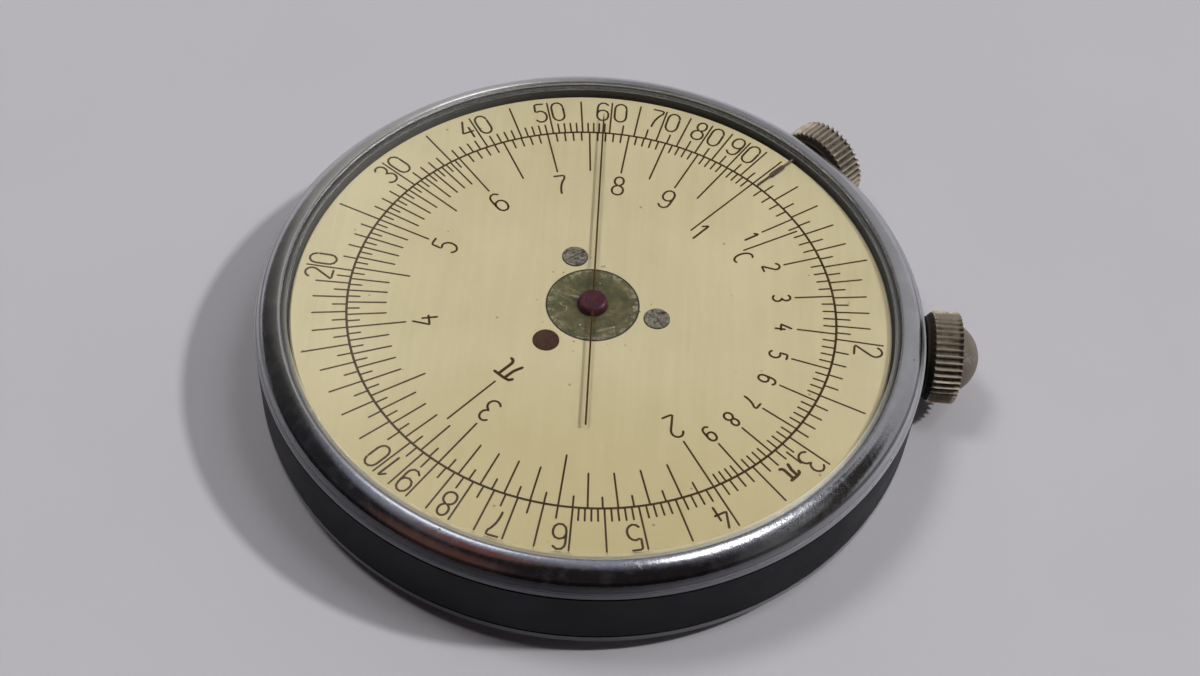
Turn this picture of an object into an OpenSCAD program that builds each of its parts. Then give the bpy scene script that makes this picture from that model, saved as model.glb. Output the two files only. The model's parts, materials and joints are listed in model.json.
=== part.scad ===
// Pocket circular slide rule: a two-sided watch case with a turning front dial,
// a fixed back dial and one needle on each side, driven by two crowns.
// The origin is the centre of the back bezel's resting land, +Z is the front side
// and +X runs along the stem of the crown that turns the needles.

/* [Dial] */
// Radius of the printed dials
dial_r = 23.3; // [22.5:0.1:26]
// Thickness of a dial plate
dial_t = 0.55; // [0.45:0.05:0.8]
// Radial gap between the turning dial and the case wall
dial_gap = 0.2; // [0.1:0.05:0.4]
// Height of the dial above the case ledge
dial_lift = 0.15; // [0.1:0.05:0.3]
// Bevel on the edge of a dial plate
dial_bevel = 0.12; // [0.05:0.01:0.2]
// Radius of the hub boss that shows in the middle of the front dial
hub_r = 3.65; // [3.4:0.05:3.9]
// Radius of the hub flange under the front dial
hub_flange_r = 6.5; // [6.3:0.1:8]
// Thickness of the hub flange
hub_flange_t = 0.65; // [0.6:0.05:0.9]
// Radius of the hub sleeve inside the wheel
hub_sleeve_r = 3.2; // [2.8:0.1:3.3]
// Thickness of the cover at the top of the hub
hub_top_t = 0.3; // [0.2:0.05:0.4]
// Radius of the circle that the dial screws sit on
dial_screw_pcr = 5.12; // [4.9:0.02:5.2]
// Number of screws in each dial
dial_screw_n = 3; // [3:1:4]
// Direction of the scale's starting line, degrees from +X
scale_az = 48.9; // [0:0.1:90]

/* [Needles] */
// Reach of a needle from the arbor to its tip
hand_reach = 20.9; // [16:0.1:22]
// Reach of a needle's tail
hand_tail = 12; // [8:0.1:16]
// Width of a needle
hand_w = 0.2; // [0.15:0.01:0.4]
// Thickness of a needle
hand_t = 0.16; // [0.1:0.01:0.2]
// Direction of the needles, degrees from +X
hand_az = 90.5; // [60:0.5:300]
// Radius at the foot of the cap that carries a needle
boss_foot_r = 1.4; // [1.2:0.01:1.6]
// Radius at the top of that cap
boss_r = 1.12; // [1.05:0.01:1.4]
// Height of that cap
boss_h = 0.67; // [0.62:0.01:0.72]
// Height of the needle's seat above the foot of its cap
hand_seat_h = 0.44; // [0.4:0.01:0.46]
// Gap between a cap and the crystal
crystal_gap = 0.08; // [0.05:0.01:0.2]
// Radius of the arbor through the case
arbor_r = 0.75; // [0.6:0.01:0.8]
// Radius at which the fixed pointer ends over the dial
index_tip_r = 18.9; // [17:0.1:20]
// Thickness of the fixed pointer
index_t = 0.12; // [0.08:0.01:0.13]
// Width of the fixed pointer's stout part
index_w = 0.4; // [0.3:0.05:0.8]

/* [Case] */
// Height of the black band between the bezels
band_h = 5.1; // [4.9:0.05:5.4]
// Thickness of the case neck round a dial
neck_t = 1.0; // [0.8:0.05:1.4]
// Width of a bezel outside the neck
bezel_w = 1.5; // [1.3:0.05:2]
// Width of the ledge that the base plate is screwed to
ledge_w = 2.5; // [2.3:0.1:3]
// Radius of the screws in the base plate
plate_screw_r = 0.5; // [0.4:0.05:0.6]
// Number of screws that hold the base plate
plate_screw_n = 4; // [3:1:6]
// Depth of those screws in the ledge
plate_screw_depth = 1.5; // [1:0.1:2]

/* [Bezel and crystal] */
// Height of a bezel's upright rim
rim_h = 0.55; // [0.4:0.05:0.7]
// Step from the rim to the rounded part
rim_step = 0.15; // [0.1:0.05:0.3]
// Overlap of a bezel's lip past the case wall
lip_over = 0.1; // [0.05:0.05:0.3]
// Thickness of the lip over the crystal
lip_t = 0.3; // [0.25:0.05:0.5]
// Distance of a bezel's crest from its lip
crest_in = 0.3; // [0.2:0.05:0.6]
// Height cut from the crest for the flat land
land_cut = 0.03; // [0.02:0.01:0.05]
// Chamfer on the lip's inner edge
lip_chamfer = 0.1; // [0.05:0.01:0.15]
// Thickness of a crystal's flange
crystal_flange_t = 0.35; // [0.3:0.05:0.5]
// Width of a crystal's flange under the lip
crystal_flange_w = 1.0; // [0.7:0.05:1.0]
// Height of a crystal's middle above its flange
crystal_rise = 0.25; // [0.15:0.01:0.28]
// Bevel round a crystal's top
crystal_bevel = 0.15; // [0.1:0.01:0.2]
// Depth of the hollow under a crystal's middle
crystal_hollow = 0.2; // [0.1:0.01:0.25]
// Thickness of the crystal's wall round that hollow
crystal_wall = 0.6; // [0.5:0.05:0.8]

/* [Gears] */
// Module of the gear teeth
gear_m = 0.25; // [0.24:0.005:0.26]
// Teeth of each pinion
pinion_n = 10; // [9:1:11]
// Teeth of the face wheel under the dial
dial_wheel_n = 112; // [108:4:116]
// Teeth of the face wheel on the arbor
hand_wheel_n = 64; // [60:4:68]
// Length of a wheel's teeth
wheel_face = 1.6; // [1.4:0.1:1.8]
// Length of a pinion's teeth
pinion_face = 1.2; // [1:0.1:1.3]
// Thickness of a tooth as a share of half its pitch
tooth_share = 0.8; // [0.74:0.01:0.84]
// Thickness of the dial wheel's web
dial_web_t = 0.5; // [0.4:0.05:0.6]
// Thickness of the hand wheel's web
hand_web_t = 0.45; // [0.35:0.05:0.55]
// Radius of the hand wheel's hub
hand_hub_r = 1.9; // [1.6:0.1:2.4]
// Side of the square end of a stem
stem_square = 1.1; // [1:0.02:1.12]

/* [Bridge and bearings] */
// Thickness of the bridge over the hand wheel
bridge_t = 1.0; // [0.8:0.05:1.1]
// Gap between the hand wheel's teeth and the bridge
bridge_gap = 0.32; // [0.25:0.01:0.4]
// Radius of the bridge's rounded ends
bridge_end_r = 2.0; // [1.6:0.1:2.2]
// Radius of the bridge's middle
bridge_mid_r = 4.2; // [3.8:0.1:5]
// Radius of a bridge pillar
pillar_r = 1.2; // [1:0.05:1.4]
// Gap between the hand wheel and the pillars and bearings
pillar_gap = 0.6; // [0.4:0.05:1]
// Radius of the journal that the dial hub turns on
journal_r = 1.9; // [1.7:0.05:2.2]
// Radius of the flange under the hub
bush_flange_r = 3.4; // [3:0.1:3.7]
// Thickness of that flange
bush_flange_t = 0.3; // [0.2:0.05:0.35]
// Radius of the arbor bush in the base plate
arbor_bush_r = 1.6; // [1.4:0.05:1.9]
// Height of the arbor bush above the base plate
bush_proud = 0.1; // [0.05:0.01:0.15]
// Width of a stem bearing's foot
foot_w = 5.4; // [5:0.1:6]
// Height of that foot
foot_h = 0.8; // [0.6:0.05:1]
// Length of a stem bearing along the stem
bearing_l = 1.6; // [1.4:0.1:2]
// Wall round the stem in its bearing
bearing_wall = 0.4; // [0.3:0.05:0.5]
// Radius of the screws in the bridge and bearings
small_screw_r = 0.4; // [0.3:0.05:0.45]

/* [Crowns] */
// Direction of the crown that turns the dial, degrees from +X
dial_crown_az = 47.5; // [40:0.5:60]
// Direction of the crown that turns the needles, degrees from +X
hand_crown_az = 0; // [-5:0.5:5]
// Radius of a crown over its flutes
crown_r = 3.65; // [3.5:0.05:4]
// Gap between the case and a crown
crown_gap = 0.15; // [0.1:0.05:0.3]
// Radius of a crown's neck
crown_neck_r = 3.15; // [2.8:0.05:3.2]
// Length of the neck
crown_neck_l = 0.2; // [0.1:0.05:0.5]
// Length of the taper from the neck to the flutes
crown_taper_l = 0.55; // [0.3:0.05:0.8]
// Length of the fluted grip
crown_grip_l = 1.95; // [1.6:0.05:2.4]
// Length of the taper at the outer end
crown_end_l = 0.8; // [0.6:0.05:1]
// Number of flutes
flute_n = 42; // [36:2:48]
// Depth of a flute
flute_depth = 0.3; // [0.2:0.05:0.35]
// Radius of the coloured dot on a crown
dot_r = 2.5; // [2.2:0.05:2.7]
// Height of that dot
dot_h = 1.0; // [0.8:0.05:1.4]
// Radius of the dot's rounded edge
dot_edge_r = 0.6; // [0.3:0.05:0.7]
// Radius of the dot's stud
dot_stud_r = 1.2; // [0.9:0.05:1.4]
// Length of the dot's stud
dot_stud_l = 0.6; // [0.4:0.05:0.7]
// Radius of a stem
stem_r = 0.8; // [0.78:0.01:0.84]
// Radius of a stem tube in the case
tube_r = 1.6; // [1.4:0.05:1.9]
// Radius of a tube's collar outside the case
collar_r = 2.2; // [2.05:0.05:2.4]
// Reach of the collar past the case
collar_l = 0.7; // [0.5:0.05:0.8]
// Depth of the spot face that the collar seats in
spot_depth = 0.25; // [0.2:0.05:0.4]

/* [Screws] */
// Radius of a dial screw's head
dial_head_r = 1.02; // [0.9:0.02:1.1]
// Thickness of a screw head
head_t = 0.3; // [0.25:0.01:0.35]
// Height of a dial screw's head above the dial
head_proud = 0.08; // [0.04:0.01:0.1]
// Width of the slot in a screw head
slot_w = 0.22; // [0.15:0.01:0.3]
// Depth of that slot
slot_depth = 0.14; // [0.1:0.01:0.18]

/* [Fits] */
// Running clearance on a shaft, radial
run_gap = 0.03; // [0.02:0.01:0.06]
// Clearance of a seated round fit, radial
seat_gap = 0.02; // [0.01:0.01:0.04]
// Axial clearance between turning faces
end_gap = 0.05; // [0.03:0.01:0.08]
// Clearance over the tips of gear teeth
tooth_gap = 0.06; // [0.04:0.01:0.08]

/* [Hidden] */
$fn = 96;

// Overlap that lets a cut pass through a face
cut = 0.2;
// Depth to which a tooth is sunk in the body that carries it
root_sink = 0.15;

// Tooth heights as shares of the module
pinion_add_share = 0.8;
pinion_ded_share = 0.75;
wheel_add_share = 0.5;
// Opening of a flute as a share of the flutes' pitch
flute_share = 0.8;
// Where the fixed pointer's stout part starts and ends, as shares of its reach from the tip
stout_share = 0.35;
waist_share = 0.7;
// Widths of its point and of its tail as shares of the stout part's
thin_share = 0.4;
tail_share = 0.5;

// Gear geometry, from the module: pitch radii, tooth heights and the involute's base circle
pressure = 20;
pinion_r = gear_m * pinion_n / 2;
pinion_out_r = pinion_r + pinion_add_share * gear_m;
pinion_root_r = pinion_r - pinion_ded_share * gear_m;
pinion_base_r = pinion_r * cos(pressure);
wheel_add = wheel_add_share * gear_m;
dial_wheel_r = gear_m * dial_wheel_n / 2;
hand_wheel_r = gear_m * hand_wheel_n / 2;
tooth_half = tooth_share * PI * gear_m / 4;

// Heights above the mid-plane, outward; the back side repeats those of the front
h_root = pinion_out_r + tooth_gap;
h_tip = pinion_r - wheel_add;
h_web = h_root + dial_web_t;
h_flange = h_web + hub_flange_t;
h_dial = h_flange + dial_t;
h_boss = h_dial + end_gap;
h_hand = h_boss + hand_seat_h;
h_boss_top = h_boss + boss_h;
h_hollow = h_boss_top + crystal_gap;
h_seat = h_hollow - crystal_hollow;
h_lip = h_seat + crystal_flange_t;
h_crest = h_lip + lip_t;
h_rim = band_h / 2 + rim_h;
h_ledge = h_flange - dial_lift;
h_plate = h_root + hand_web_t + end_gap + bush_proud;
h_bridge = bridge_gap - h_tip;
h_bridge_top = h_bridge + bridge_t;
h_bush = h_bridge_top + bush_flange_t;
h_hub_top = h_dial - hub_top_t;
mid_z = h_crest;

// Radii of the case, outward from the dial
wall_r = dial_r + dial_gap;
neck_r = wall_r + neck_t;
case_r = neck_r + bezel_w;
ledge_r = wall_r - ledge_w;
skirt_r = neck_r + seat_gap;
lip_r = wall_r - lip_over;
crest_r = lip_r + crest_in;
round_r = case_r - rim_step;
crystal_r = lip_r + crystal_flange_w;
plate_r = wall_r - seat_gap;
plate_screw_pcr = wall_r - ledge_w / 2;
tail_w = index_w * tail_share;

// The bezel's rounded part is one arc from the rim's step up to the crest
arc_dx = round_r - crest_r;
arc_dz = h_crest + land_cut - h_rim;
arc_r = (arc_dx * arc_dx + arc_dz * arc_dz) / (2 * arc_dz);

// Places along the stems
dial_wheel_out = dial_wheel_r + wheel_face / 2;
hand_wheel_out = hand_wheel_r + wheel_face / 2;
dial_bearing_x = dial_wheel_out + pillar_gap;
hand_bearing_x = hand_wheel_out + pillar_gap;
nose_r = h_tip - tooth_gap;
pillar_x = hand_wheel_out + pillar_gap + pillar_r;
mid_az = (dial_crown_az + hand_crown_az) / 2;
bridge_az = mid_az + 90;
foot_screw_y = (foot_w / 2 + stem_r + bearing_wall) / 2;
spot_x = case_r - spot_depth;
collar_x = case_r + collar_l;
crown_x = case_r + crown_gap;
taper_x = crown_x + crown_neck_l;
grip_x = taper_x + crown_taper_l;
shoulder_x = grip_x + crown_grip_l;
crown_end_x = shoulder_x + crown_end_l;
recess_x = collar_x + end_gap;
recess_r = collar_r + run_gap + end_gap;
stem_end_x = crown_end_x - dot_stud_l - 2 * seat_gap;
flute_half = flute_share * PI * (crown_r + cut) / flute_n;

// Frames that the pieces are drawn in

module front_side() {
  translate([0, 0, mid_z]) children();
}

module back_side() {
  translate([0, 0, mid_z]) mirror([0, 0, 1]) children();
}

// The child's +Z runs outward along a stem
module along_stem(az) {
  translate([0, 0, mid_z]) rotate([0, 0, az]) rotate([0, 90, 0]) children();
}

module ring_of(n, r, start) {
  for (i = [0 : n - 1])
    rotate([0, 0, start + i * 360 / n]) translate([r, 0, 0]) children();
}

module disc(r, low, high) {
  translate([0, 0, low]) cylinder(r = r, h = high - low);
}

// A slotted screw: the head stands on z = 0 and the shank hangs below it
module slotted_screw(shank_r, head_r, shank_l) {
  difference() {
    disc(head_r, 0, head_t);
    translate([0, 0, head_t - slot_depth / 2 + cut / 2])
      cube([2 * head_r + cut, slot_w, slot_depth + cut], center = true);
  }
  disc(shank_r, -shank_l, 0);
}

// The hole that a slotted screw drops into, open at the top
module screw_hole(shank_r, head_r, shank_l) {
  disc(head_r + seat_gap, 0, head_t + cut);
  disc(shank_r + seat_gap, -shank_l, cut);
}

// Screw positions, shared by the screws and their holes

module at_dial_screws() {
  ring_of(dial_screw_n, dial_screw_pcr, scale_az + 180)
    translate([0, 0, h_dial + head_proud - head_t]) children();
}

module at_plate_screws() {
  ring_of(plate_screw_n, plate_screw_pcr, mid_az)
    translate([0, 0, h_flange - head_t]) children();
}

module at_bearing_screws() {
  for (stem = [[dial_crown_az, dial_bearing_x], [hand_crown_az, hand_bearing_x]])
    for (side = [-1, 1])
      rotate([0, 0, stem[0]])
        translate([stem[1] + bearing_l / 2, side * foot_screw_y, h_flange - head_t]) children();
}

module at_bridge_screws() {
  ring_of(2, pillar_x, bridge_az) translate([0, 0, h_bridge_top]) children();
}

// Case

module case_profile() {
  translate([wall_r, -h_seat]) square([neck_t, 2 * h_seat]);
  translate([wall_r, -band_h / 2]) square([case_r - wall_r, band_h]);
  translate([ledge_r, -h_plate]) square([ledge_w + neck_t / 2, h_plate + h_ledge]);
}

module case_band() {
  color("#17181b") difference() {
    front_side() rotate_extrude($fn = 192) case_profile();
    for (az = [dial_crown_az, hand_crown_az])
      along_stem(az) {
        disc(tube_r + seat_gap, ledge_r - cut, case_r + cut);
        disc(collar_r + seat_gap, spot_x, case_r + cut);
      }
    back_side() at_plate_screws()
      disc(plate_screw_r + seat_gap, head_t - h_flange + h_plate - plate_screw_depth, cut);
    front_side() rotate([0, 0, dial_crown_az])
      translate([wall_r - cut, -tail_w / 2 - seat_gap, h_boss])
        cube([neck_t + 2 * cut, tail_w + 2 * seat_gap, index_t + seat_gap]);
  }
}

module bezel_profile() {
  difference() {
    union() {
      translate([skirt_r, band_h / 2]) square([case_r - skirt_r, rim_h]);
      intersection() {
        translate([crest_r, h_crest + land_cut - arc_r]) circle(arc_r);
        translate([lip_r, h_rim]) square([round_r - lip_r, h_crest - h_rim]);
      }
    }
    translate([0, band_h / 2 - cut]) square([skirt_r, h_lip - band_h / 2 + cut]);
    translate([lip_r, h_crest]) rotate(45)
      square(lip_chamfer * sqrt(2), center = true);
  }
}

module bezel() {
  rotate_extrude($fn = 192) bezel_profile();
}

module front_bezel() {
  color("#b4b6ba") front_side() bezel();
}

module back_bezel() {
  color("#b4b6ba") back_side() bezel();
}

// A crystal: a flange under the lip and a raised middle that is hollow underneath, clear of the needle
module crystal() {
  middle_r = lip_r - seat_gap;
  difference() {
    union() {
      disc(crystal_r, h_seat, h_lip);
      disc(middle_r, h_seat, h_lip + crystal_rise - crystal_bevel);
      translate([0, 0, h_lip + crystal_rise - crystal_bevel])
        cylinder(r1 = middle_r, r2 = middle_r - crystal_bevel, h = crystal_bevel);
    }
    disc(middle_r - crystal_wall, h_seat - cut, h_hollow);
  }
}

module front_crystal() {
  color("#e8eef0", 0.3) front_side() crystal();
}

module back_crystal() {
  color("#e8eef0", 0.3) back_side() crystal();
}

// The fixed pointer: a tail in the neck's slot, a stout middle and a thin point
module index_finger() {
  stout_r = index_tip_r + (wall_r - index_tip_r) * stout_share;
  waist_r = index_tip_r + (wall_r - index_tip_r) * waist_share;
  thin_w = index_w * thin_share;
  half = [
    [index_tip_r + thin_w, thin_w / 2],
    [stout_r, thin_w / 2],
    [stout_r + index_w / 2, index_w / 2],
    [waist_r, index_w / 2],
    [waist_r + index_w / 2, tail_w / 2],
    [neck_r, tail_w / 2]
  ];
  color("#5a3a2a") front_side() rotate([0, 0, dial_crown_az]) translate([0, 0, h_boss])
    linear_extrude(index_t)
      polygon(concat(
        [[index_tip_r, 0]],
        half,
        [for (k = [len(half) - 1 : -1 : 0]) [half[k][0], -half[k][1]]]
      ));
}

// Base plate and what it carries

module base_plate() {
  color("#b59a55") back_side() difference() {
    disc(plate_r, h_plate, h_flange);
    disc(arbor_bush_r + seat_gap, h_plate - cut, h_flange + cut);
    at_plate_screws() screw_hole(plate_screw_r, 2 * plate_screw_r, h_flange);
    at_bearing_screws() screw_hole(small_screw_r, 2 * small_screw_r, h_flange);
    mirror([0, 0, 1]) at_bridge_screws() disc(small_screw_r + seat_gap, -2 * h_flange, 0);
    at_dial_screws() disc(small_screw_r + seat_gap, -h_dial, cut);
  }
}

module plate_screws() {
  color("#8d8f92") back_side() at_plate_screws()
    slotted_screw(plate_screw_r, 2 * plate_screw_r, h_flange - head_t - h_plate + plate_screw_depth);
}

module bearing_screws() {
  color("#8d8f92") back_side() at_bearing_screws()
    slotted_screw(small_screw_r, 2 * small_screw_r, h_flange - head_t - h_plate + foot_h / 2);
}

module centre_bridge() {
  color("#b59a55") front_side() difference() {
    translate([0, 0, h_bridge]) linear_extrude(bridge_t) {
      circle(bridge_mid_r);
      rotate(bridge_az) {
        square([2 * pillar_x, 2 * bridge_end_r], center = true);
        for (side = [-1, 1])
          translate([side * pillar_x, 0]) circle(bridge_end_r);
      }
    }
    disc(journal_r + seat_gap, h_bridge - cut, h_bridge_top + cut);
    at_bridge_screws() disc(small_screw_r + seat_gap, -bridge_t - cut, cut);
  }
}

module bridge_pillars() {
  color("#b59a55") front_side() ring_of(2, pillar_x, bridge_az)
    difference() {
      disc(pillar_r, -h_plate, h_bridge);
      disc(small_screw_r + seat_gap, -h_plate - cut, h_bridge + cut);
    }
}

module bridge_screws() {
  color("#8d8f92") front_side() at_bridge_screws()
    slotted_screw(small_screw_r, 2 * small_screw_r, h_bridge_top + h_flange);
}

// The bush that the dial hub turns on, with the arbor running through it
module centre_bush() {
  color("#a88f4c") front_side() difference() {
    union() {
      disc(journal_r, h_bridge, h_hub_top - end_gap);
      disc(bush_flange_r, h_bridge_top, h_bush);
    }
    disc(arbor_r + run_gap, h_bridge - cut, h_hub_top + cut);
  }
}

module arbor_bush() {
  color("#a88f4c") back_side() difference() {
    disc(arbor_bush_r, h_plate - bush_proud, h_dial);
    disc(arbor_r + run_gap, h_plate - bush_proud - cut, h_dial + cut);
  }
}

// A stem tube: pressed in the case, with a collar seated in the spot face
module stem_tube() {
  difference() {
    union() {
      disc(tube_r, ledge_r, collar_x);
      disc(collar_r, spot_x, collar_x);
    }
    disc(stem_r + run_gap, ledge_r - cut, collar_x + cut);
  }
}

module dial_stem_tube() {
  color("#a9a49a") along_stem(dial_crown_az) stem_tube();
}

module hand_stem_tube() {
  color("#a9a49a") along_stem(hand_crown_az) stem_tube();
}

// A stem bearing: a pillow block whose nose keeps the pinion from being pulled outward.
// In this frame -X is up.
module stem_bearing(block_x, pinion_x) {
  post_r = stem_r + run_gap + bearing_wall;
  difference() {
    union() {
      translate([0, 0, block_x]) linear_extrude(bearing_l) {
        circle(post_r);
        translate([0, -post_r]) square([h_plate, 2 * post_r]);
        translate([h_plate - foot_h, -foot_w / 2]) square([foot_h, foot_w]);
      }
      disc(nose_r, pinion_x + pinion_face / 2 + end_gap, block_x + bearing_l / 2);
    }
    disc(stem_r + run_gap, pinion_x, block_x + bearing_l + cut);
    for (side = [-1, 1])
      translate([h_plate - foot_h / 2, side * foot_screw_y, block_x + bearing_l / 2])
        rotate([0, 90, 0]) disc(small_screw_r + seat_gap, -seat_gap, foot_h);
  }
}

module dial_stem_bearing() {
  color("#b59a55") along_stem(dial_crown_az) stem_bearing(dial_bearing_x, dial_wheel_r);
}

module hand_stem_bearing() {
  color("#b59a55") along_stem(hand_crown_az) stem_bearing(hand_bearing_x, hand_wheel_r);
}

// Dials

module dial_plate(hole_r) {
  difference() {
    union() {
      disc(dial_r, h_flange, h_dial - dial_bevel);
      translate([0, 0, h_dial - dial_bevel])
        cylinder(r1 = dial_r, r2 = dial_r - dial_bevel, h = dial_bevel);
    }
    disc(hole_r + seat_gap, h_flange - cut, h_dial + cut);
    at_dial_screws() screw_hole(small_screw_r, dial_head_r, h_dial);
  }
}

module back_dial() {
  color("#c8bc94") back_side() dial_plate(arbor_bush_r);
}

module back_dial_screws() {
  color("#84827a") back_side() at_dial_screws()
    slotted_screw(small_screw_r, dial_head_r, h_dial + head_proud - head_t - h_plate);
}

module front_dial() {
  color("#c8bc94") front_side() dial_plate(hub_r);
}

module dial_screws() {
  color("#84827a") front_side() at_dial_screws()
    slotted_screw(small_screw_r, dial_head_r, h_dial + head_proud - head_t - h_root);
}

// The hub: a sleeve on the journal, a flange under the dial and a boss level with its face
module dial_hub() {
  color("#686c4c") front_side() difference() {
    union() {
      disc(hub_sleeve_r, h_bush + end_gap, h_flange);
      disc(hub_flange_r, h_web, h_flange);
      disc(hub_r, h_web, h_dial);
    }
    disc(journal_r + run_gap, h_bush - cut, h_hub_top);
    disc(arbor_r + 2 * end_gap, h_bush - cut, h_dial + cut);
    at_dial_screws() disc(small_screw_r + seat_gap, -h_dial, cut);
  }
}

// One face-gear tooth: a rack tooth drawn at the wheel's middle radius, tip towards -Z
module face_tooth(mid_r) {
  slope = tan(pressure);
  tip_half = tooth_half - wheel_add * slope;
  root_half = tooth_half + (h_root - pinion_r) * slope;
  translate([mid_r - wheel_face / 2, 0, 0]) rotate([90, 0, 90]) linear_extrude(wheel_face)
    polygon([
      [-tip_half, h_tip],
      [tip_half, h_tip],
      [root_half, h_root],
      [root_half, h_root + root_sink],
      [-root_half, h_root + root_sink],
      [-root_half, h_root]
    ]);
}

// A face wheel with a gap between teeth at the azimuth of its stem
module face_wheel(n, mid_r, web_t, hole_r, az) {
  difference() {
    disc(mid_r + wheel_face / 2, h_root, h_root + web_t);
    disc(hole_r + seat_gap, h_root - cut, h_root + web_t + cut);
  }
  for (i = [0 : n - 1])
    rotate([0, 0, az + (i + 0.5) * 360 / n]) face_tooth(mid_r);
}

module dial_wheel() {
  color("#b59a55") front_side() difference() {
    face_wheel(dial_wheel_n, dial_wheel_r, dial_web_t, hub_sleeve_r, dial_crown_az);
    at_dial_screws() disc(small_screw_r + seat_gap, -h_dial, cut);
  }
}

// Needles and the arbor that joins them

module hand_wheel() {
  color("#b59a55") back_side() {
    face_wheel(hand_wheel_n, hand_wheel_r, hand_web_t, arbor_r, hand_crown_az);
    difference() {
      disc(hand_hub_r, -h_bridge + end_gap, h_root + hand_web_t / 2);
      disc(arbor_r + seat_gap, -h_bridge, h_root + hand_web_t);
    }
  }
}

// The slot that a needle lies in, open at the outer end
module hand_slot(az) {
  rotate([0, 0, az])
    translate([-2 * boss_foot_r, -hand_w / 2 - seat_gap, h_hand])
      cube([4 * boss_foot_r, hand_w + 2 * seat_gap, boss_h]);
}

module hand_arbor() {
  color("#8d8f92") difference() {
    front_side() disc(arbor_r, seat_gap - h_boss_top, h_boss_top - seat_gap);
    front_side() hand_slot(hand_az);
    back_side() hand_slot(hand_az);
  }
}

// A needle's cap: a cone on the end of the arbor
module hand_boss(az) {
  difference() {
    translate([0, 0, h_boss]) cylinder(r1 = boss_foot_r, r2 = boss_r, h = boss_h);
    disc(arbor_r + seat_gap, h_boss - cut, h_boss_top + cut);
    hand_slot(az);
  }
}

module needle(az) {
  rotate([0, 0, az]) translate([0, 0, h_hand]) linear_extrude(hand_t)
    polygon([
      [-hand_tail, -hand_w / 2],
      [hand_reach - hand_w, -hand_w / 2],
      [hand_reach, 0],
      [hand_reach - hand_w, hand_w / 2],
      [-hand_tail, hand_w / 2]
    ]);
}

module front_hand() {
  color("#4a3a34") front_side() needle(hand_az);
}

module front_hand_boss() {
  color("#582030") front_side() hand_boss(hand_az);
}

module back_hand() {
  color("#4a3a34") back_side() needle(hand_az);
}

module back_hand_boss() {
  color("#582030") back_side() hand_boss(hand_az);
}

// Crowns, stems and pinions

// Half of a crown's section, radius across and distance from the centre upward
module crown_profile() {
  polygon([
    [stem_r + seat_gap, recess_x],
    [recess_r, recess_x],
    [recess_r, crown_x],
    [crown_neck_r, crown_x],
    [crown_neck_r, taper_x],
    [crown_r, grip_x],
    [crown_r, shoulder_x],
    [dot_r + seat_gap, crown_end_x],
    [dot_stud_r + seat_gap, crown_end_x],
    [dot_stud_r + seat_gap, stem_end_x],
    [stem_r + seat_gap, stem_end_x]
  ]);
}

module crown_head() {
  difference() {
    rotate_extrude() crown_profile();
    for (i = [0 : flute_n - 1])
      rotate([0, 0, i * 360 / flute_n]) translate([0, 0, taper_x])
        linear_extrude(crown_end_x - taper_x + cut)
          polygon([
            [crown_r - flute_depth, 0],
            [crown_r + cut, -flute_half],
            [crown_r + cut, flute_half]
          ]);
  }
}

// The dot: a flat dome whose top arc runs tangent into its rounded edge, on a stud pressed in the crown
module crown_dot() {
  edge_x = dot_r - dot_edge_r;
  dome_r = (edge_x * edge_x + dot_h * dot_h - dot_edge_r * dot_edge_r) / (2 * (dot_h - dot_edge_r));
  tangent_x = edge_x + dot_edge_r * edge_x / (dome_r - dot_edge_r);
  rotate_extrude() {
    translate([0, crown_end_x]) intersection() {
      translate([0, dot_h - dome_r]) circle(dome_r);
      square([tangent_x, dot_h]);
    }
    translate([0, crown_end_x]) intersection() {
      translate([edge_x, 0]) circle(dot_edge_r);
      translate([edge_x, 0]) square([dot_edge_r, dot_edge_r]);
    }
    translate([0, crown_end_x - dot_stud_l]) square([dot_stud_r, dot_stud_l + seat_gap]);
  }
}

module crown_stem(pinion_x) {
  square_end = pinion_x + pinion_face / 2;
  translate([-stem_square / 2, -stem_square / 2, pinion_x - pinion_face / 2])
    cube([stem_square, stem_square, pinion_face + cut]);
  disc(stem_r, square_end, stem_end_x);
}

// Involute of the pinion's flank: half the tooth's angle at radius r
function involute(a) = tan(a) * 180 / PI - a;
function tooth_angle(r) =
  tooth_share * 90 / pinion_n + involute(pressure) - involute(acos(min(1, pinion_base_r / r)));
function polar(r, a) = [r * cos(a), r * sin(a)];

// A pinion with one tooth at the given angle
module pinion(pinion_x, start) {
  flank = [pinion_root_r - root_sink, pinion_base_r, pinion_r, pinion_out_r];
  hole = stem_square + 2 * seat_gap;
  translate([0, 0, pinion_x - pinion_face / 2]) linear_extrude(pinion_face)
    difference() {
      union() {
        circle(pinion_root_r);
        for (i = [0 : pinion_n - 1])
          rotate(start + i * 360 / pinion_n)
            polygon(concat(
              [for (k = [0 : 3]) polar(flank[k], -tooth_angle(flank[k]))],
              [for (k = [3 : -1 : 0]) polar(flank[k], tooth_angle(flank[k]))]
            ));
      }
      square(hole, center = true);
    }
}

module dial_crown_head() {
  color("#8a7d6a") along_stem(dial_crown_az) crown_head();
}

module dial_crown_dot() {
  color("#26241f") along_stem(dial_crown_az) crown_dot();
}

module dial_stem() {
  color("#8d8f92") along_stem(dial_crown_az) crown_stem(dial_wheel_r);
}

module dial_pinion() {
  color("#b59a55") along_stem(dial_crown_az) pinion(dial_wheel_r, 180);
}

module hand_crown_head() {
  color("#8a7d6a") along_stem(hand_crown_az) crown_head();
}

module hand_crown_dot() {
  color("#80706a") along_stem(hand_crown_az) crown_dot();
}

module hand_stem() {
  color("#8d8f92") along_stem(hand_crown_az) crown_stem(hand_wheel_r);
}

module hand_pinion() {
  color("#b59a55") along_stem(hand_crown_az) pinion(hand_wheel_r, 0);
}

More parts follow.
